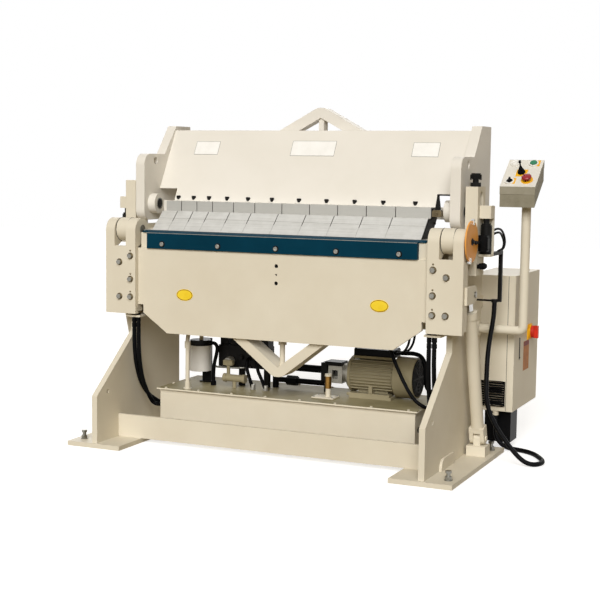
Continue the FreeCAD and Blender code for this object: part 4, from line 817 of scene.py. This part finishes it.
@dataclass(frozen=True)
class Studio:
    """White floor without a horizon, an even warm air and two broad soft lamps."""

    floor_reach: float = 14000.0
    fill: float = 0.18
    fill_tint: str = "#ffe9c4"
    sun_power: float = 3.05
    sun_spread: float = 40.0
    sun_from: tuple[float, float, float] = (0.21, -0.80, 0.50)
    back_power: float = 1.3
    back_spread: float = 60.0
    back_from: tuple[float, float, float] = (-0.45, 0.85, 0.28)
    floor_bounce: str = "#a09478"
    floor_paint: str = "#cecece"
    floor_paper: float = 0.645

    @staticmethod
    def seen(g: Graph) -> Socket:
        """Share of rays that come from the eye, a gloss or a clear piece.

        Args:
            g: the graph to build in.

        Returns:
            A socket that is 1 for such rays and 0 for the light that falls on the machine.
        """
        rays = g.add("LightPath", {}).node.outputs
        most = rays["Is Camera Ray"]
        for name in ("Is Glossy Ray", "Is Transmission Ray"):
            most = g.add("Math", {0: most, 1: rays[name]}, operation="MAXIMUM")
        return most

    def world(self) -> None:
        """Light from everywhere at a plain level, and white where the eye or a gloss looks."""
        world = bpy.data.worlds.new("studio_air")
        bpy.context.scene.world = world
        world.use_nodes = True
        g = Graph("studio_air", world.node_tree)
        seen = self.seen(g)
        glow = g.add("MapRange", {"Value": seen, "To Min": self.fill, "To Max": 1.0})
        colours = {SHARE: seen, FIRST: linear(self.fill_tint), SECOND: linear("#ffffff")}
        tint = g.add("Mix", colours, MIXED, data_type="RGBA")
        g.finish(g.add("Background", {"Color": tint, "Strength": glow}))

    def floor(self) -> None:
        """White floor that keeps a soft shadow and lights the machine only a little from below."""
        reach = self.floor_reach * MM
        mesh = bpy.data.meshes.new("studio_floor")
        corners = [(-reach, -reach, 0), (reach, -reach, 0), (reach, reach, 0), (-reach, reach, 0)]
        mesh.from_pydata(corners, [], [(0, 1, 2, 3)])
        g = Graph("studio_floor_paper")
        seen = self.seen(g)
        paint = {SHARE: seen, FIRST: linear(self.floor_bounce), SECOND: linear(self.floor_paint)}
        matt = g.add("BsdfDiffuse", {"Color": g.add("Mix", paint, MIXED, data_type="RGBA")})
        share = g.add("MapRange", {"Value": seen, "To Min": 0.0, "To Max": self.floor_paper})
        paper = g.add("Emission", {"Color": linear("#ffffff"), "Strength": share})
        mesh.materials.append(g.finish(g.add("AddShader", {0: matt, 1: paper})))
        placed("studio_floor", mesh)

    def lamps(self) -> None:
        """One broad soft lamp before the machine, and a weaker one behind it for its rear."""
        for name, power, spread, way in (
            ("broad_soft_lamp", self.sun_power, self.sun_spread, self.sun_from),
            ("weak_back_lamp", self.back_power, self.back_spread, self.back_from),
        ):
            data = bpy.data.lights.new(name, "SUN")
            data.energy, data.angle = power, math.radians(spread)
            placed(name, data).rotation_euler = Vector(way).to_track_quat("Z", "Y").to_euler()

    def build(self) -> None:
        """Set the view transform and build world, floor and lamps."""
        bpy.context.scene.view_settings.view_transform = "Standard"
        self.world()
        self.floor()
        self.lamps()
        LOG.info("studio ready")


# Signal conduit


@dataclass(frozen=True)
class Conduit:
    """Corrugated nylon conduit from the cable bar, over the floor, up into the cabinet."""

    radius: float = 10.0
    rib: float = 1.1
    pitch: float = 6.0
    length: float = 1.274
    exit: tuple[float, float, float] = (0.822, 0.2525, 0.646)
    route: tuple[tuple[float, float, float], ...] = (
        (0.822, 0.2525, 0.646), (0.822, 0.2525, 0.602), (0.822, 0.228, 0.550), (0.826, 0.176, 0.490),
        (0.832, 0.134, 0.424), (0.837, 0.112, 0.352), (0.839, 0.106, 0.285), (0.848, 0.110, 0.228),
        (0.868, 0.118, 0.178), (0.896, 0.122, 0.132), (0.928, 0.124, 0.091), (0.956, 0.125, 0.058),
        (0.983, 0.128, 0.032), (1.008, 0.134, 0.016), (1.033, 0.147, 0.0105), (1.049, 0.170, 0.0105),
        (1.054, 0.198, 0.0105), (1.049, 0.226, 0.0105), (1.038, 0.253, 0.0105), (1.023, 0.280, 0.0105),
        (1.006, 0.309, 0.0105), (0.984, 0.339, 0.0105), (0.956, 0.364, 0.0105), (0.924, 0.381, 0.0105),
        (0.890, 0.391, 0.0105), (0.860, 0.396, 0.0125), (0.834, 0.397, 0.0225), (0.814, 0.397, 0.042),
        (0.803, 0.3965, 0.068), (0.8015, 0.396, 0.098), (0.801, 0.396, 0.126), (0.801, 0.396, 0.150),
    )

    def line(self) -> list[Vector]:
        """Read the route's smooth spline.

        Returns:
            Its points in metres, close together.
        """
        curve = bpy.data.curves.new("conduit_route", "CURVE")
        curve.dimensions = "3D"
        curve.resolution_u = 24
        spline = curve.splines.new("NURBS")
        spline.points.add(len(self.route) - 1)
        for point, place in zip(spline.points, self.route):
            point.co = (*place, 1.0)
        spline.order_u = 3
        spline.use_endpoint_u = True
        holder = placed("conduit_route", curve)
        bpy.context.view_layer.update()
        shape = holder.evaluated_get(bpy.context.evaluated_depsgraph_get())
        mesh = bpy.data.meshes.new_from_object(shape)
        points = [v.co.copy() for v in mesh.vertices]
        bpy.data.objects.remove(holder)
        bpy.data.meshes.remove(mesh)
        bpy.data.curves.remove(curve)
        return points

    def build(self) -> None:
        path = self.line()
        marks = [0.0]
        for a, b in zip(path, path[1:]):
            marks.append(marks[-1] + (b - a).length)
        steps = int(marks[-1] / (self.pitch * MM / 4))
        line, k = [], 0
        for i in range(steps + 1):
            want = marks[-1] * i / steps
            while k < len(marks) - 2 and marks[k + 1] < want:
                k += 1
            share = (want - marks[k]) / (marks[k + 1] - marks[k])
            line.append(path[k].lerp(path[k + 1], share) / MM)
        # ribs stand 6 mm apart, about the real pitch of a 20 mm conduit drawn a third coarser
        rise = (0.0, -self.rib * 0.2, -self.rib, -self.rib * 0.2)
        piece = Piece("signal_conduit_ribbed")
        piece.tube(line, lambda i: self.radius + (0.0 if i in (0, steps) else rise[i % 4]), 20)
        tube = piece.make(Finish.NYLON, "black_rubber", sharp=80)
        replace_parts(tube, "signal_conduit")


# Sub-assemblies


@dataclass(frozen=True)
class FloorFrame:
    """Side frames with their feet, rails, uprights, bed and bending cylinders."""

    nodes: dict
    # distance from the middle of the two gaps beside each hub, and the hub's radius
    gaps: tuple[float, float] = (705.2, 757.6)
    hub: float = 50.0
    plug: tuple[float, float, float] = (805.5, 48.0, 806.0)
    knurls: int = 24

    def build(self) -> None:
        """Dress the frame's nodes and add the painted shade bands at the hubs' gaps, the hose plug and the
        knurls.
        """
        names = (
            "left_side_frame right_side_frame base_rails bed_beam left_upright right_upright "
            "cylinder_bases pendant_pole left_bend_cylinder right_bend_cylinder"
        )
        finishes = {
            Finish.CREAM: names,
            Finish.GROUND_STEEL: "bed_nose_bar",
            Finish.BLACK_STEEL: "travel_screw clamp_cylinders",
            Finish.BRIGHT_STEEL: "floor_anchors",
            Finish.CHROME: "left_bend_rod right_bend_rod",
        }
        dress(self.nodes, finishes)
        self.lock_ring()
        self.hub_gap_shade()
        self.hose_plug()

    def hub_gap_shade(self) -> None:
        """Add black bands on the hubs where the apron's lugs run against them: painted shade for the narrow
        gaps there.
        """
        lines = Piece("hub_gap_shade_bands")
        for side in (-1, 1):
            for x in self.gaps:
                place = outward(side * x, *BEND, side)
                lines.band(polygon(self.hub + 0.7, 64), polygon(self.hub - 3, 64), 0, 2.2, place)
        lines.make(Finish.BLACK_ABS, "black_rubber")

    def hose_plug(self) -> None:
        """Add the black plug of the clamp line on the right upright's outer side."""
        plug = Piece("clamp_line_plug")
        profile = ((9, -0.5), (9, 9), (13, 10), (13, 17), (12, 18), (13, 19), (13, 30), (10, 33), (7, 38))
        plug.turned(profile, frame_at(self.plug, (1, 0, 0.12), (0, 1, 0)), 32)
        plug.make(Finish.BLACK_ABS, "black_rubber")

    def lock_ring(self) -> None:
        """Add the knurled lock ring under the head of the travel screw."""
        low, high = (Vector(corner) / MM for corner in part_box("travel_screw"))
        middle = (low + high) / 2
        reach, tall = (high.x - low.x) / 2 - 0.4, high.z - low.z
        piece = Piece("travel_screw_knurls")
        for i in range(self.knurls):
            turn = 2 * math.pi * i / self.knurls
            x, y = middle.x + reach * math.cos(turn), middle.y + reach * math.sin(turn)
            piece.prism(polygon(1.1, 6), tall * 0.62, tall * 0.92, upright(x, y, low.z))
        piece.make(Finish.BLACK_STEEL, "black_steel")


@dataclass(frozen=True)
class ClampBeam:
    """The leaning clamp beam with its fingers, bosses and blank plates."""

    nodes: dict
    foot_y: float = 114.3
    foot_z: float = 1035.0
    lean_y: float = 0.4818
    lean_z: float = 0.8763
    shaft_y: float = 80.0
    shaft_z: float = 1020.0
    boss_in: float = 662.0
    finger_end: float = 609.6
    ear_in: float = 697.7
    # middle X, middle height along the slope, width, height
    plates: tuple[tuple[float, float, float, float], ...] = (
        (-511.5, 264.5, 119.0, 67.0),
        (5.0, 266.0, 206.0, 74.0),
        (515.5, 264.0, 117.0, 68.0),
    )

    def build(self) -> None:
        """Dress the beam's nodes and add plates, shaft ends and the right-end bracket."""
        finishes = {
            Finish.BEAM_CREAM: "upper_beam beam_truss",
            Finish.GROUND_STEEL: "clamp_fingers",
            Finish.BLACK_STEEL: "finger_screws clamp_rods_and_shafts",
            Finish.CREAM: "trunnion_blocks",
        }
        dress(self.nodes, finishes)
        self.blank_plates()
        self.shaft_ends()
        self.end_bracket()
        self.end_face_shade()

    def on_slope(self, x: float, along: float) -> Matrix:
        """Place on the leaning plate at a width and a height along its slope."""
        spot = (x, self.foot_y + self.lean_y * along, self.foot_z + self.lean_z * along)
        return frame_at(spot, (0, -self.lean_z, self.lean_y))

    def blank_plates(self) -> None:
        """Add the three bare plates with their thin grey border."""
        border, face = Piece("beam_plate_borders"), Piece("beam_blank_plates")
        for x, along, wide, high in self.plates:
            place = self.on_slope(x, along)
            border.prism(rounded(wide, high, 2), -0.2, 0.7, place)
            face.prism(rounded(wide - 3.2, high - 3.2, 1), 0.3, 1.1, place)
        border.make(Finish.LINE_GREY, "grey_plastic", "clamp_beam")
        face.make(Finish.WHITE_PLATE, "pale_paint", "clamp_beam")

    def shaft_ends(self) -> None:
        """Add the bright retaining ring and the centred end of each clamp shaft."""
        ring, end = Piece("shaft_retaining_rings"), Piece("shaft_end_faces")
        for side in (-1, 1):
            place = outward(side * self.boss_in, self.shaft_y, self.shaft_z, -side)
            ring.band(polygon(25.5, 40), polygon(21.5, 40), -0.3, 1.6, place)
            end.turned(((21.5, -2.2), (21.5, -0.4), (19.5, 0.6), (4, 0.6), (2.5, -2)), place, 40)
        ring.make(Finish.BRIGHT_STEEL, "bright_steel", "clamp_beam", bevel=0.3)
        end.make(Finish.BLACK_STEEL, "black_steel", "clamp_beam")

    def end_bracket(self) -> None:
        """Add the bar on the right ear with its pointed arm and the back stop block."""
        facing_out = facing(0, 38, 0)
        arm = Piece("end_bracket_arm")
        bar = [(self.ear_in + 0.2, 1083), (self.ear_in + 0.2, 1089), (640, 1089), (640, 1083)]
        arm.prism(bar, 0, 16, facing_out, 0.8)
        arm.prism([(630, 1024), (655, 1024), (646, 1087), (640, 1087)], 4, 12, facing_out, 0.8)
        arm.make(Finish.BLACK_STEEL, "black_steel", "clamp_beam")
        block = Piece("end_bracket_block")
        stop = [(622, 998), (661, 998), (661, 1018), (655, 1026), (628, 1026), (622, 1020)]
        block.prism(stop, -8, 24, facing_out, 1.2)
        cap_screw(block, facing(641, 14, 1012), 6.5, 4, 3)
        block.make(Finish.DULL_STEEL, "bright_steel", "clamp_beam")

    def end_face_shade(self) -> None:
        """Add a black plate with three screws on the end of the last finger: painted shade for that end face,
        which faces away from the light.
        """
        outline = [(-72, 912.6), (29.6, 912.6), (58, 931), (111, 986), (111, 1032), (49, 1032)]
        outline += [(49, 989), (14, 989), (-17, 960)]
        place = outward(self.finger_end - 0.1, 0, 0)
        plate = Piece("finger_end_shade_plate")
        plate.prism(outline, 0, 3.2, place, 0.5)
        for y, z in ((70, 1000), (85, 970), (20, 935)):
            cap_screw(plate, outward(self.finger_end + 3, y, z), 5, 3.5, 2.4)
        plate.make(Finish.BLACK_STEEL, "black_steel", "clamp_beam")


@dataclass(frozen=True)
class Apron:
    """The folding leaf with its insert bar, truss, bearing blocks and angle disk."""

    nodes: dict
    leaf_y: float = -110.0
    bar_y: float = -118.0
    block_y: float = -135.0
    bar_half: float = 609.6
    bar_top: float = 900.6
    disk_face: float = 818.0
    # spacing and height of the insert bar's five screws
    screw_step: float = 267.4
    screw_z: float = 854.3
    # height and radius of the tapped holes in the middle of the leaf
    holes: Spots = ((783, 8), (747, 4), (711.7, 8))
    # X and Z of the ovals
    ovals: Spots = ((453.8, 644.5), (-428.6, 641.5))
    # distance from the middle and height of the bearing block's bolts and dowels
    bolts: Spots = (
        (681.8, 799.5),
        (681.8, 699.5),
        (681.8, 623.0),
        (735.7, 772.0),
        (735.7, 623.0),
    )
    dowels: Spots = ((681.8, 821.5), (681.8, 721.5), (681.8, 645.0))

    def build(self) -> None:
        """Dress the apron's nodes and add bolts, ovals, tool edge and disk hub."""
        finishes = {
            Finish.CREAM: "apron_plate apron_truss left_bearing_block right_bearing_block",
            Finish.TEAL: "insert_bar",
            Finish.BRIGHT_STEEL: "pivot_pins",
            Finish.AMBER: "angle_disk",
            Finish.CHROME: "stop_dogs",
        }
        dress(self.nodes, finishes)
        self.fasteners()
        self.blank_ovals()
        self.hole_shade_plugs()
        self.tool_edge()
        self.disk_hub()

    def fasteners(self) -> None:
        """Add the washered hex bolts of the blocks and the screws of the insert bar, each screw ringed by a
        black band of painted shadow for its counterbore.
        """
        heads, collars = Piece("bearing_block_bolts"), Piece("insert_bar_screws")
        washers = Piece("bearing_block_washers")
        rims, pins = Piece("insert_screw_shadow_rings"), Piece("bearing_block_dowels")
        for side in (-1, 1):
            for x, z in self.bolts:
                # the washers' dark browned steel also paints the shadow ring round each bolt head
                cap_screw(washers, facing(side * x, self.block_y, z), 14.5, 2.5)
                nut(heads, facing(side * x, self.block_y - 2.5, z), 22, 9.5)
            for x, z in self.dowels:
                pins.turned(((4.2, -0.5), (4.2, 0.3), (3.4, 0.8)), facing(side * x, self.block_y, z), 20)
        for step in range(-2, 3):
            place = facing(step * self.screw_step, self.bar_y, self.screw_z)
            cap_screw(collars, place, 9.2, 7, 4.6)
            # painted shadow: a black ring round each screw stands in for the shade of a counterbore
            rims.band(polygon(13.0, 32), polygon(9.4, 32), -0.2, 1.2, place)
        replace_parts(heads.make(Finish.BRIGHT_STEEL, "bright_steel", "apron"), "apron_bolts")
        washers.make(Finish.DULL_STEEL, "bright_steel", "apron")
        collars.make(Finish.BRIGHT_STEEL, "bright_steel", "apron")
        rims.make(Finish.BLACK_STEEL, "black_steel", "apron")
        pins.make(Finish.DULL_STEEL, "bright_steel", "apron")

    def blank_ovals(self) -> None:
        """Add the two plain yellow ovals with a thin darker line inside the rim."""
        face, line = Piece("apron_blank_ovals"), Piece("apron_oval_lines")
        for x, z in self.ovals:
            place = facing(x, self.leaf_y, z)
            face.prism(polygon(39.5, 56, 0, 50 / 79), -0.2, 0.9, place)
            line.band(polygon(37, 56, 0, 46 / 74), polygon(35, 56, 0, 42 / 70), 0.5, 1.2, place)
        face.make(Finish.LEMON, "yellow_plastic", "apron")
        line.make(Finish.OXBLOOD, "amber_paint", "apron")

    def hole_shade_plugs(self) -> None:
        """Add black plugs just inside the three tapped holes in the middle of the leaf: painted shade for the
        depth of the holes.
        """
        linings = Piece("apron_hole_shade_plugs")
        for z, radius in self.holes:
            place = facing(0, self.leaf_y + 4, z)
            profile = ((radius - 0.3, -5), (radius - 0.3, 3.2), (radius * 0.8, 3.2), (radius * 0.7, -2))
            linings.turned(profile, place, 24)
        linings.make(Finish.BLACK_STEEL, "black_steel", "apron")

    def tool_edge(self) -> None:
        """Add the bare ground strip along the top edge of the insert bar."""
        edge = Piece("insert_bar_ground_edge")
        wide = 2 * self.bar_half - 1
        edge.prism(rounded(wide, 2.2, 0.5, 2), -0.3, 0.4, facing(0, self.bar_y, self.bar_top))
        edge.make(Finish.BRIGHT_STEEL, "finger_steel", "apron")

    def disk_hub(self) -> None:
        """Add the hub washer and centre bolt of the angle disk."""
        hub = Piece("angle_disk_hub")
        cap_screw(hub, outward(self.disk_face, *BEND), 14, 3)
        nut(hub, outward(self.disk_face + 3, *BEND), 17, 6)
        hub.make(Finish.BLACK_STEEL, "black_steel", "apron")


@dataclass(frozen=True)
class PowerPack:
    """Oil tank, motor, pump, filter, valves and hoses."""

    nodes: dict
    axis_y: float = 210.0
    axis_z: float = 312.0
    cowl_end: float = 515.0
    lid_z: float = 220.0
    terminal: tuple[float, float] = (329.5, 210.0)
    filler: tuple[float, float] = (160.0, 78.0)
    # lines of the two hoses from the valve block's ports down to the lid
    drops: tuple[tuple[tuple[float, float, float], ...], ...] = (
        ((-240, 140, 350), (-240, 116, 346), (-236, 104, 310), (-222, 102, 268), (-206, 104, 222)),
        ((-195, 140, 350), (-193, 114, 344), (-180, 98, 306), (-158, 96, 262), (-142, 98, 222)),
    )

    def build(self) -> None:
        """Dress the power pack's nodes and add covers, grille, screws and hoses."""
        finishes = {
            Finish.CREAM: "oil_tank filler_neck return_pipe",
            Finish.LID_CREAM: "tank_lid",
            Finish.MOTOR: "motor_housing motor_fan_cowl line_strainer",
            Finish.CASTING: "motor_rotor bell_housing",
            Finish.BLACK_STEEL: "gear_pump filter_head valve_block",
            Finish.WHITE_ENAMEL: "filter_canister",
            Finish.HOSE: "fixed_hoses",
        }
        dress(self.nodes, finishes)
        self.terminal_cover()
        self.cowl_grille()
        self.lid_screws()
        self.hose_drops()
        self.filler_sleeve()

    def terminal_cover(self) -> None:
        """Add the black cover of the terminal box with its four screws; its black is painted shade for the
        dark band between the motor and the apron.
        """
        cover = Piece("terminal_box_cover_shaded")
        middle = upright(*self.terminal, 0)
        cover.prism(rounded(178.4, 99.4, 8), 399, 427, middle, 3)
        cover.prism(rounded(180.6, 101.6, 8), 397, 401.5, middle, 1)
        for x, y in ((248, 168), (248, 252), (411, 168), (411, 252)):
            cap_screw(cover, upright(x, y, 426.5), 4.5, 2.5, 2.1)
        cover.make(Finish.BLACK_ABS, "black_plastic")

    def cowl_grille(self) -> None:
        """Add the black air inlet on the motor's end: a plate with raised rings and spokes."""
        place = outward(self.cowl_end, self.axis_y, self.axis_z)
        grille = Piece("fan_cowl_grille")
        grille.prism(polygon(80, 56), -0.4, 0.8, place)
        for radius in (18, 32, 46, 60, 74):
            grille.band(polygon(radius + 2.2, 48), polygon(radius - 2.2, 48), 0.4, 3, place)
        for i in range(4):
            spoke = place @ Matrix.Rotation(math.radians(45 * i), 4, "Z")
            grille.prism(rounded(150, 5, 1), 0.4, 3.4, spoke)
        grille.make(Finish.BLACK_ABS, "black_plastic")

    def lid_screws(self) -> None:
        """Add the socket screws along the edges of the tank lid."""
        screws = Piece("tank_lid_screws")
        spots = [(x, y) for x in range(-560, 561, 160) for y in (-37, 316)]
        spots += [(x, y) for y in (80, 200) for x in (-590, 590)]
        for x, y in spots:
            cap_screw(screws, upright(x, y, self.lid_z), 5.5, 4, 2.6)
        screws.make(Finish.CREAM, "cream_paint")

    def hose_drops(self) -> None:
        """Add the two short hoses from the valve block to the lid, with their fittings."""
        hoses, ends = Piece("valve_block_hoses"), Piece("valve_block_hose_fittings")
        for line in self.drops:
            hoses.tube(smooth(line), 7.5)
            x, y, z = line[-1]
            nut(ends, upright(x, y, self.lid_z), 24, 9)
            ends.turned(((9.5, 9), (9.5, 22), (8.6, 24)), upright(x, y, self.lid_z), 24)
        body = facing(-340, 152, 330)
        ends.turned(((22, 0), (22, 20), (19, 25), (19, 31), (17, 33)), body, 32)
        hoses.make(Finish.HOSE, "black_rubber")
        ends.make(Finish.CASTING, "cast_grey")
        pilot = Piece("pilot_pipe")
        line = ((-404, 128, 306), (-380, 112, 306), (-300, 112, 308), (-258, 120, 310), (-244, 152, 310))
        pilot.tube(smooth(line), 4.5)
        pilot.make(Finish.BRIGHT_STEEL, "bright_steel")

    def filler_sleeve(self) -> None:
        """Add the brass sleeve at the top of the filler neck and the flange's screws."""
        sleeve = Piece("filler_neck_sleeve")
        profile = ((12, 40), (13.6, 41), (13.6, 56), (14.4, 57), (14.4, 62), (13.6, 63), (13.6, 91), (12, 93))
        sleeve.turned(profile, upright(*self.filler, self.lid_z), 32)
        sleeve.make(Finish.BRASS, "brass_fitting")
        screws = Piece("filler_flange_screws")
        for x, y in ((106, 50), (106, 104), (190, 50), (190, 104)):
            cap_screw(screws, upright(x, y, self.lid_z + 5), 4.5, 3, 2.2)
        screws.make(Finish.BRIGHT_STEEL, "bright_steel")


@dataclass(frozen=True)
class Cabinet:
    """Electrical cabinet with its door, isolator and the cable box below."""

    nodes: dict
    front: float = 380.0
    face: float = 877.0
    bottom: float = 172.0
    top: float = 745.0

    def build(self) -> None:
        """Dress the cabinet's nodes and add gasket, louvres, handle and label places."""
        finishes = {
            Finish.CREAM: "electrical_cabinet cabinet_door",
            Finish.YELLOW: "isolator_plate",
            Finish.SIGNAL_RED: "isolator_knob",
            Finish.BLACK_ABS: "cable_box",
        }
        dress(self.nodes, finishes)
        self.gasket()
        self.louvres()
        self.door_fittings()

    def gasket(self) -> None:
        """Add the dark gasket line up the cabinet's front, beside the door."""
        middle, tall = (self.bottom + self.top) / 2, self.top - self.bottom
        line = Piece("door_gasket")
        line.prism(rounded(1.8, tall, 0.4, 2), -0.4, 0.4, facing(847, self.front, middle))
        line.make(Finish.BLACK_ABS, "black_rubber")

    def louvres(self) -> None:
        """Add the black vent grille: a thin frame and ten drooping blades."""
        grille = Piece("vent_grille_blades")
        across = outward(742, 0, 0)
        for i in range(10):
            z = 200.5 + 9.9 * i
            blade = [(377.2, z - 1), (377.2, z + 4.4), (371.5, z - 2.2), (372.3, z - 3.2)]
            grille.prism(list(reversed(blade)), 0, 98, across)
        place = facing(791, 377, 245)
        grille.band(boxed(53, 54.5), boxed(49, 50.5), -0.3, 4, place)
        grille.make(Finish.BLACK_ABS, "black_plastic")

    def door_fittings(self) -> None:
        """Add the handle in its recess and the blank label of the door."""
        out = outward(self.face, 0, 0)
        handle = Piece("door_handle_bar")
        handle.prism([(466, 384), (476, 384), (476, 477), (466, 477)], -5, 1.6, out, 0.8)
        cap_screw(handle, outward(self.face + 1.4, 471, 392), 3.4, 1.6, 1.6)
        handle.make(Finish.BLACK_ABS, "black_plastic", "door")
        label, band = Piece("door_blank_label"), Piece("door_label_head")
        label.prism([(537.5, 325), (632, 325), (632, 452), (537.5, 452)], -0.2, 0.6, out)
        band.prism([(540, 431), (629.5, 431), (629.5, 450), (540, 450)], 0.2, 1.0, out)
        label.make(Finish.ORANGE, "amber_paint", "door")
        band.make(Finish.OXBLOOD, "red_plastic", "door")


@dataclass(frozen=True)
class Controls:
    """Pendant box with its buttons, and the limit switch beside the angle disk."""

    nodes: dict
    left: float = 834.7
    front: float = 240.0
    edge_z: float = 1122.0
    rise: float = 107.0
    deep: float = 142.0
    # distance from the left side and, along Y, from the front edge
    start_at: tuple[float, float] = (106.3, 122.0)
    selector_at: tuple[float, float] = (32.3, 26.0)
    lamp_at: tuple[float, float] = (27.3, 121.0)
    stick_at: tuple[float, float] = (67.9, 74.0)
    stop_at: tuple[float, float] = (101.9, 34.0)
    # Y and Z of the middle of the limit switch
    switch_at: tuple[float, float] = (32.0, 899.0)

    def build(self) -> None:
        """Dress the control nodes and add collars, plates, boot, dome and switch cables."""
        finishes = {
            Finish.GREY_ABS: "pendant_box",
            Finish.LID_ABS: "pendant_lid",
            Finish.GREEN: "start_button",
            Finish.BLACK_ABS: "limit_switch",
            Finish.BLACK_STEEL: "limit_lever cable_bar",
        }
        dress(self.nodes, finishes)
        self.collars()
        self.plates()
        self.stick()
        self.selector()
        self.mushroom()
        self.switch_cables()

    def on_face(self, x: float, along: float) -> Matrix:
        """Place on the sloping face at a distance from its left side and, along Y, its front edge."""
        spot = (self.left + x, self.front + along, self.edge_z + self.rise / self.deep * along)
        return frame_at(spot, (0, -self.rise, self.deep))

    def collars(self) -> None:
        """Add the white collars and the lens of the lamp."""
        white = Piece("control_collars")
        white.band(polygon(20.5, 40), polygon(15, 40), 0.1, 6.5, self.on_face(*self.start_at))
        white.band(polygon(19.5, 40), polygon(13, 40), 0.1, 5.5, self.on_face(*self.selector_at))
        white.band(polygon(18.5, 40), polygon(12.9, 40), 0.1, 5, self.on_face(*self.lamp_at))
        white.make(Finish.LENS, "grey_plastic", bevel=0.6)
        lens = Piece("lamp_lens")
        lens.turned(((12.7, -1.9), (12.7, 4), (12, 6), (9, 8), (4, 9), (0, 9.2)), self.on_face(*self.lamp_at))
        lens.make(Finish.LENS, "grey_plastic")

    def plates(self) -> None:
        """Add the bare yellow plates under the controls and the knockouts of the box."""
        yellow = Piece("control_blank_plates")
        for spot, hole, half, right, back in (
            (self.start_at, 15.1, 19.5, 6, 3),
            (self.selector_at, 15.1, 19.0, 5, 4),
            (self.stick_at, 16.2, 23.0, 2, -3),
        ):
            outer = [(x + right, y + back) for x, y in boxed(half, half)]
            yellow.band(outer, polygon(hole, 40), 0.1, 0.8, self.on_face(*spot))
        yellow.band(polygon(25, 40), polygon(11, 40), 0.1, 1.4, self.on_face(*self.stop_at))
        yellow.make(Finish.YELLOW, "yellow_plastic")
        marks = Piece("box_knockouts")
        for x in (36, 72, 108):
            marks.band(polygon(9.5, 32), polygon(8.4, 32), -0.2, 0.5, facing(self.left + x, self.front, 1066))
        marks.make(Finish.GREY_ABS, "grey_plastic")

    def stick(self) -> None:
        """Add the joystick: a fixed rubber boot and a slender stick with its small knob."""
        place = self.on_face(*self.stick_at)
        boot = Piece("joystick_boot")
        fold = ((16, 0.1), (14.4, 5), (15, 6), (12.8, 10), (13.3, 11), (11, 15), (7.9, 15), (7.9, 0.1))
        boot.turned(fold, place, 40, loop=True)
        boot.make(Finish.HOSE, "black_rubber")
        lever = Piece("joystick_lever")
        profile = ((4, 3), (4, 17.8), (9, 18.4), (8.6, 20), (7.2, 22), (7.6, 23.4), (5.6, 27), (6, 28.4))
        profile += ((3.6, 33), (2.8, 46), (3.2, 48), (5.2, 50), (5.8, 54), (5.2, 59), (3, 61.4), (0, 62))
        lever.turned(profile, place, 32)
        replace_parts(lever.make(Finish.BLACK_ABS, "black_plastic", "stick"), "joystick")

    def selector(self) -> None:
        """Add the selector: a low round base with a short turning grip."""
        place = self.on_face(*self.selector_at)
        knob = Piece("selector_grip")
        knob.turned(((8, -14), (8, 0.3), (11.6, 0.5), (11.6, 6), (10.4, 7.6)), place, 32)
        knob.prism(rounded(8, 23, 3), 7, 16, place, 1)
        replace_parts(knob.make(Finish.BLACK_ABS, "black_plastic", "selector"), "selector_switch")

    def mushroom(self) -> None:
        """Add the domed stop button."""
        dome = Piece("stop_button_dome")
        profile = ((9, -10), (9, 7), (11, 7.2), (18.6, 14), (20, 16), (20, 18), (18.4, 20.6), (14, 22.8))
        dome.turned(profile + ((8, 24), (0, 24.4)), self.on_face(*self.stop_at), 40)
        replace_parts(dome.make(Finish.RED, "red_plastic", "stop"), "stop_button")

    def switch_cables(self) -> None:
        """Add the two looped cables between the limit switch plate and the cable bar."""
        loops = Piece("limit_switch_cables")
        outer = ((843, 116, 944), (854, 134, 953), (858, 180, 950), (858, 226, 932), (858, 254, 899))
        outer += ((857, 240, 872), (851, 208, 864), (844, 190, 856))
        inner = ((843, 116, 930), (855, 132, 938), (858, 176, 936), (858, 214, 918), (858, 238, 894))
        inner += ((857, 226, 872), (851, 196, 864), (844, 178, 856))
        for line in (outer, inner):
            loops.tube(smooth(line), 4.4)
        loops.make(Finish.HOSE, "black_rubber")
        case = Piece("limit_switch_cover")
        middle_y, middle_z = self.switch_at
        out = outward(850, middle_y, middle_z)
        case.prism(rounded(31, 54, 3), -0.3, 3.5, out, 1)
        for y, z in ((-11, 22), (11, 22), (-11, -22), (11, -22)):
            cap_screw(case, outward(853.3, middle_y + y, middle_z + z), 2.6, 1.4, 1.2)
        case.make(Finish.BLACK_ABS, "black_plastic")


def main() -> None:
    """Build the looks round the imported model, in order."""
    logging.basicConfig(level=logging.INFO, format="%(name)s: %(message)s")
    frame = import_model()
    nodes = frame["nodes"]
    Camera().build()
    Conduit().build()
    Studio().build()
    for part in (FloorFrame, ClampBeam, Apron, PowerPack, Cabinet, Controls):
        part(nodes).build()


if __name__ == "__main__":
    main()
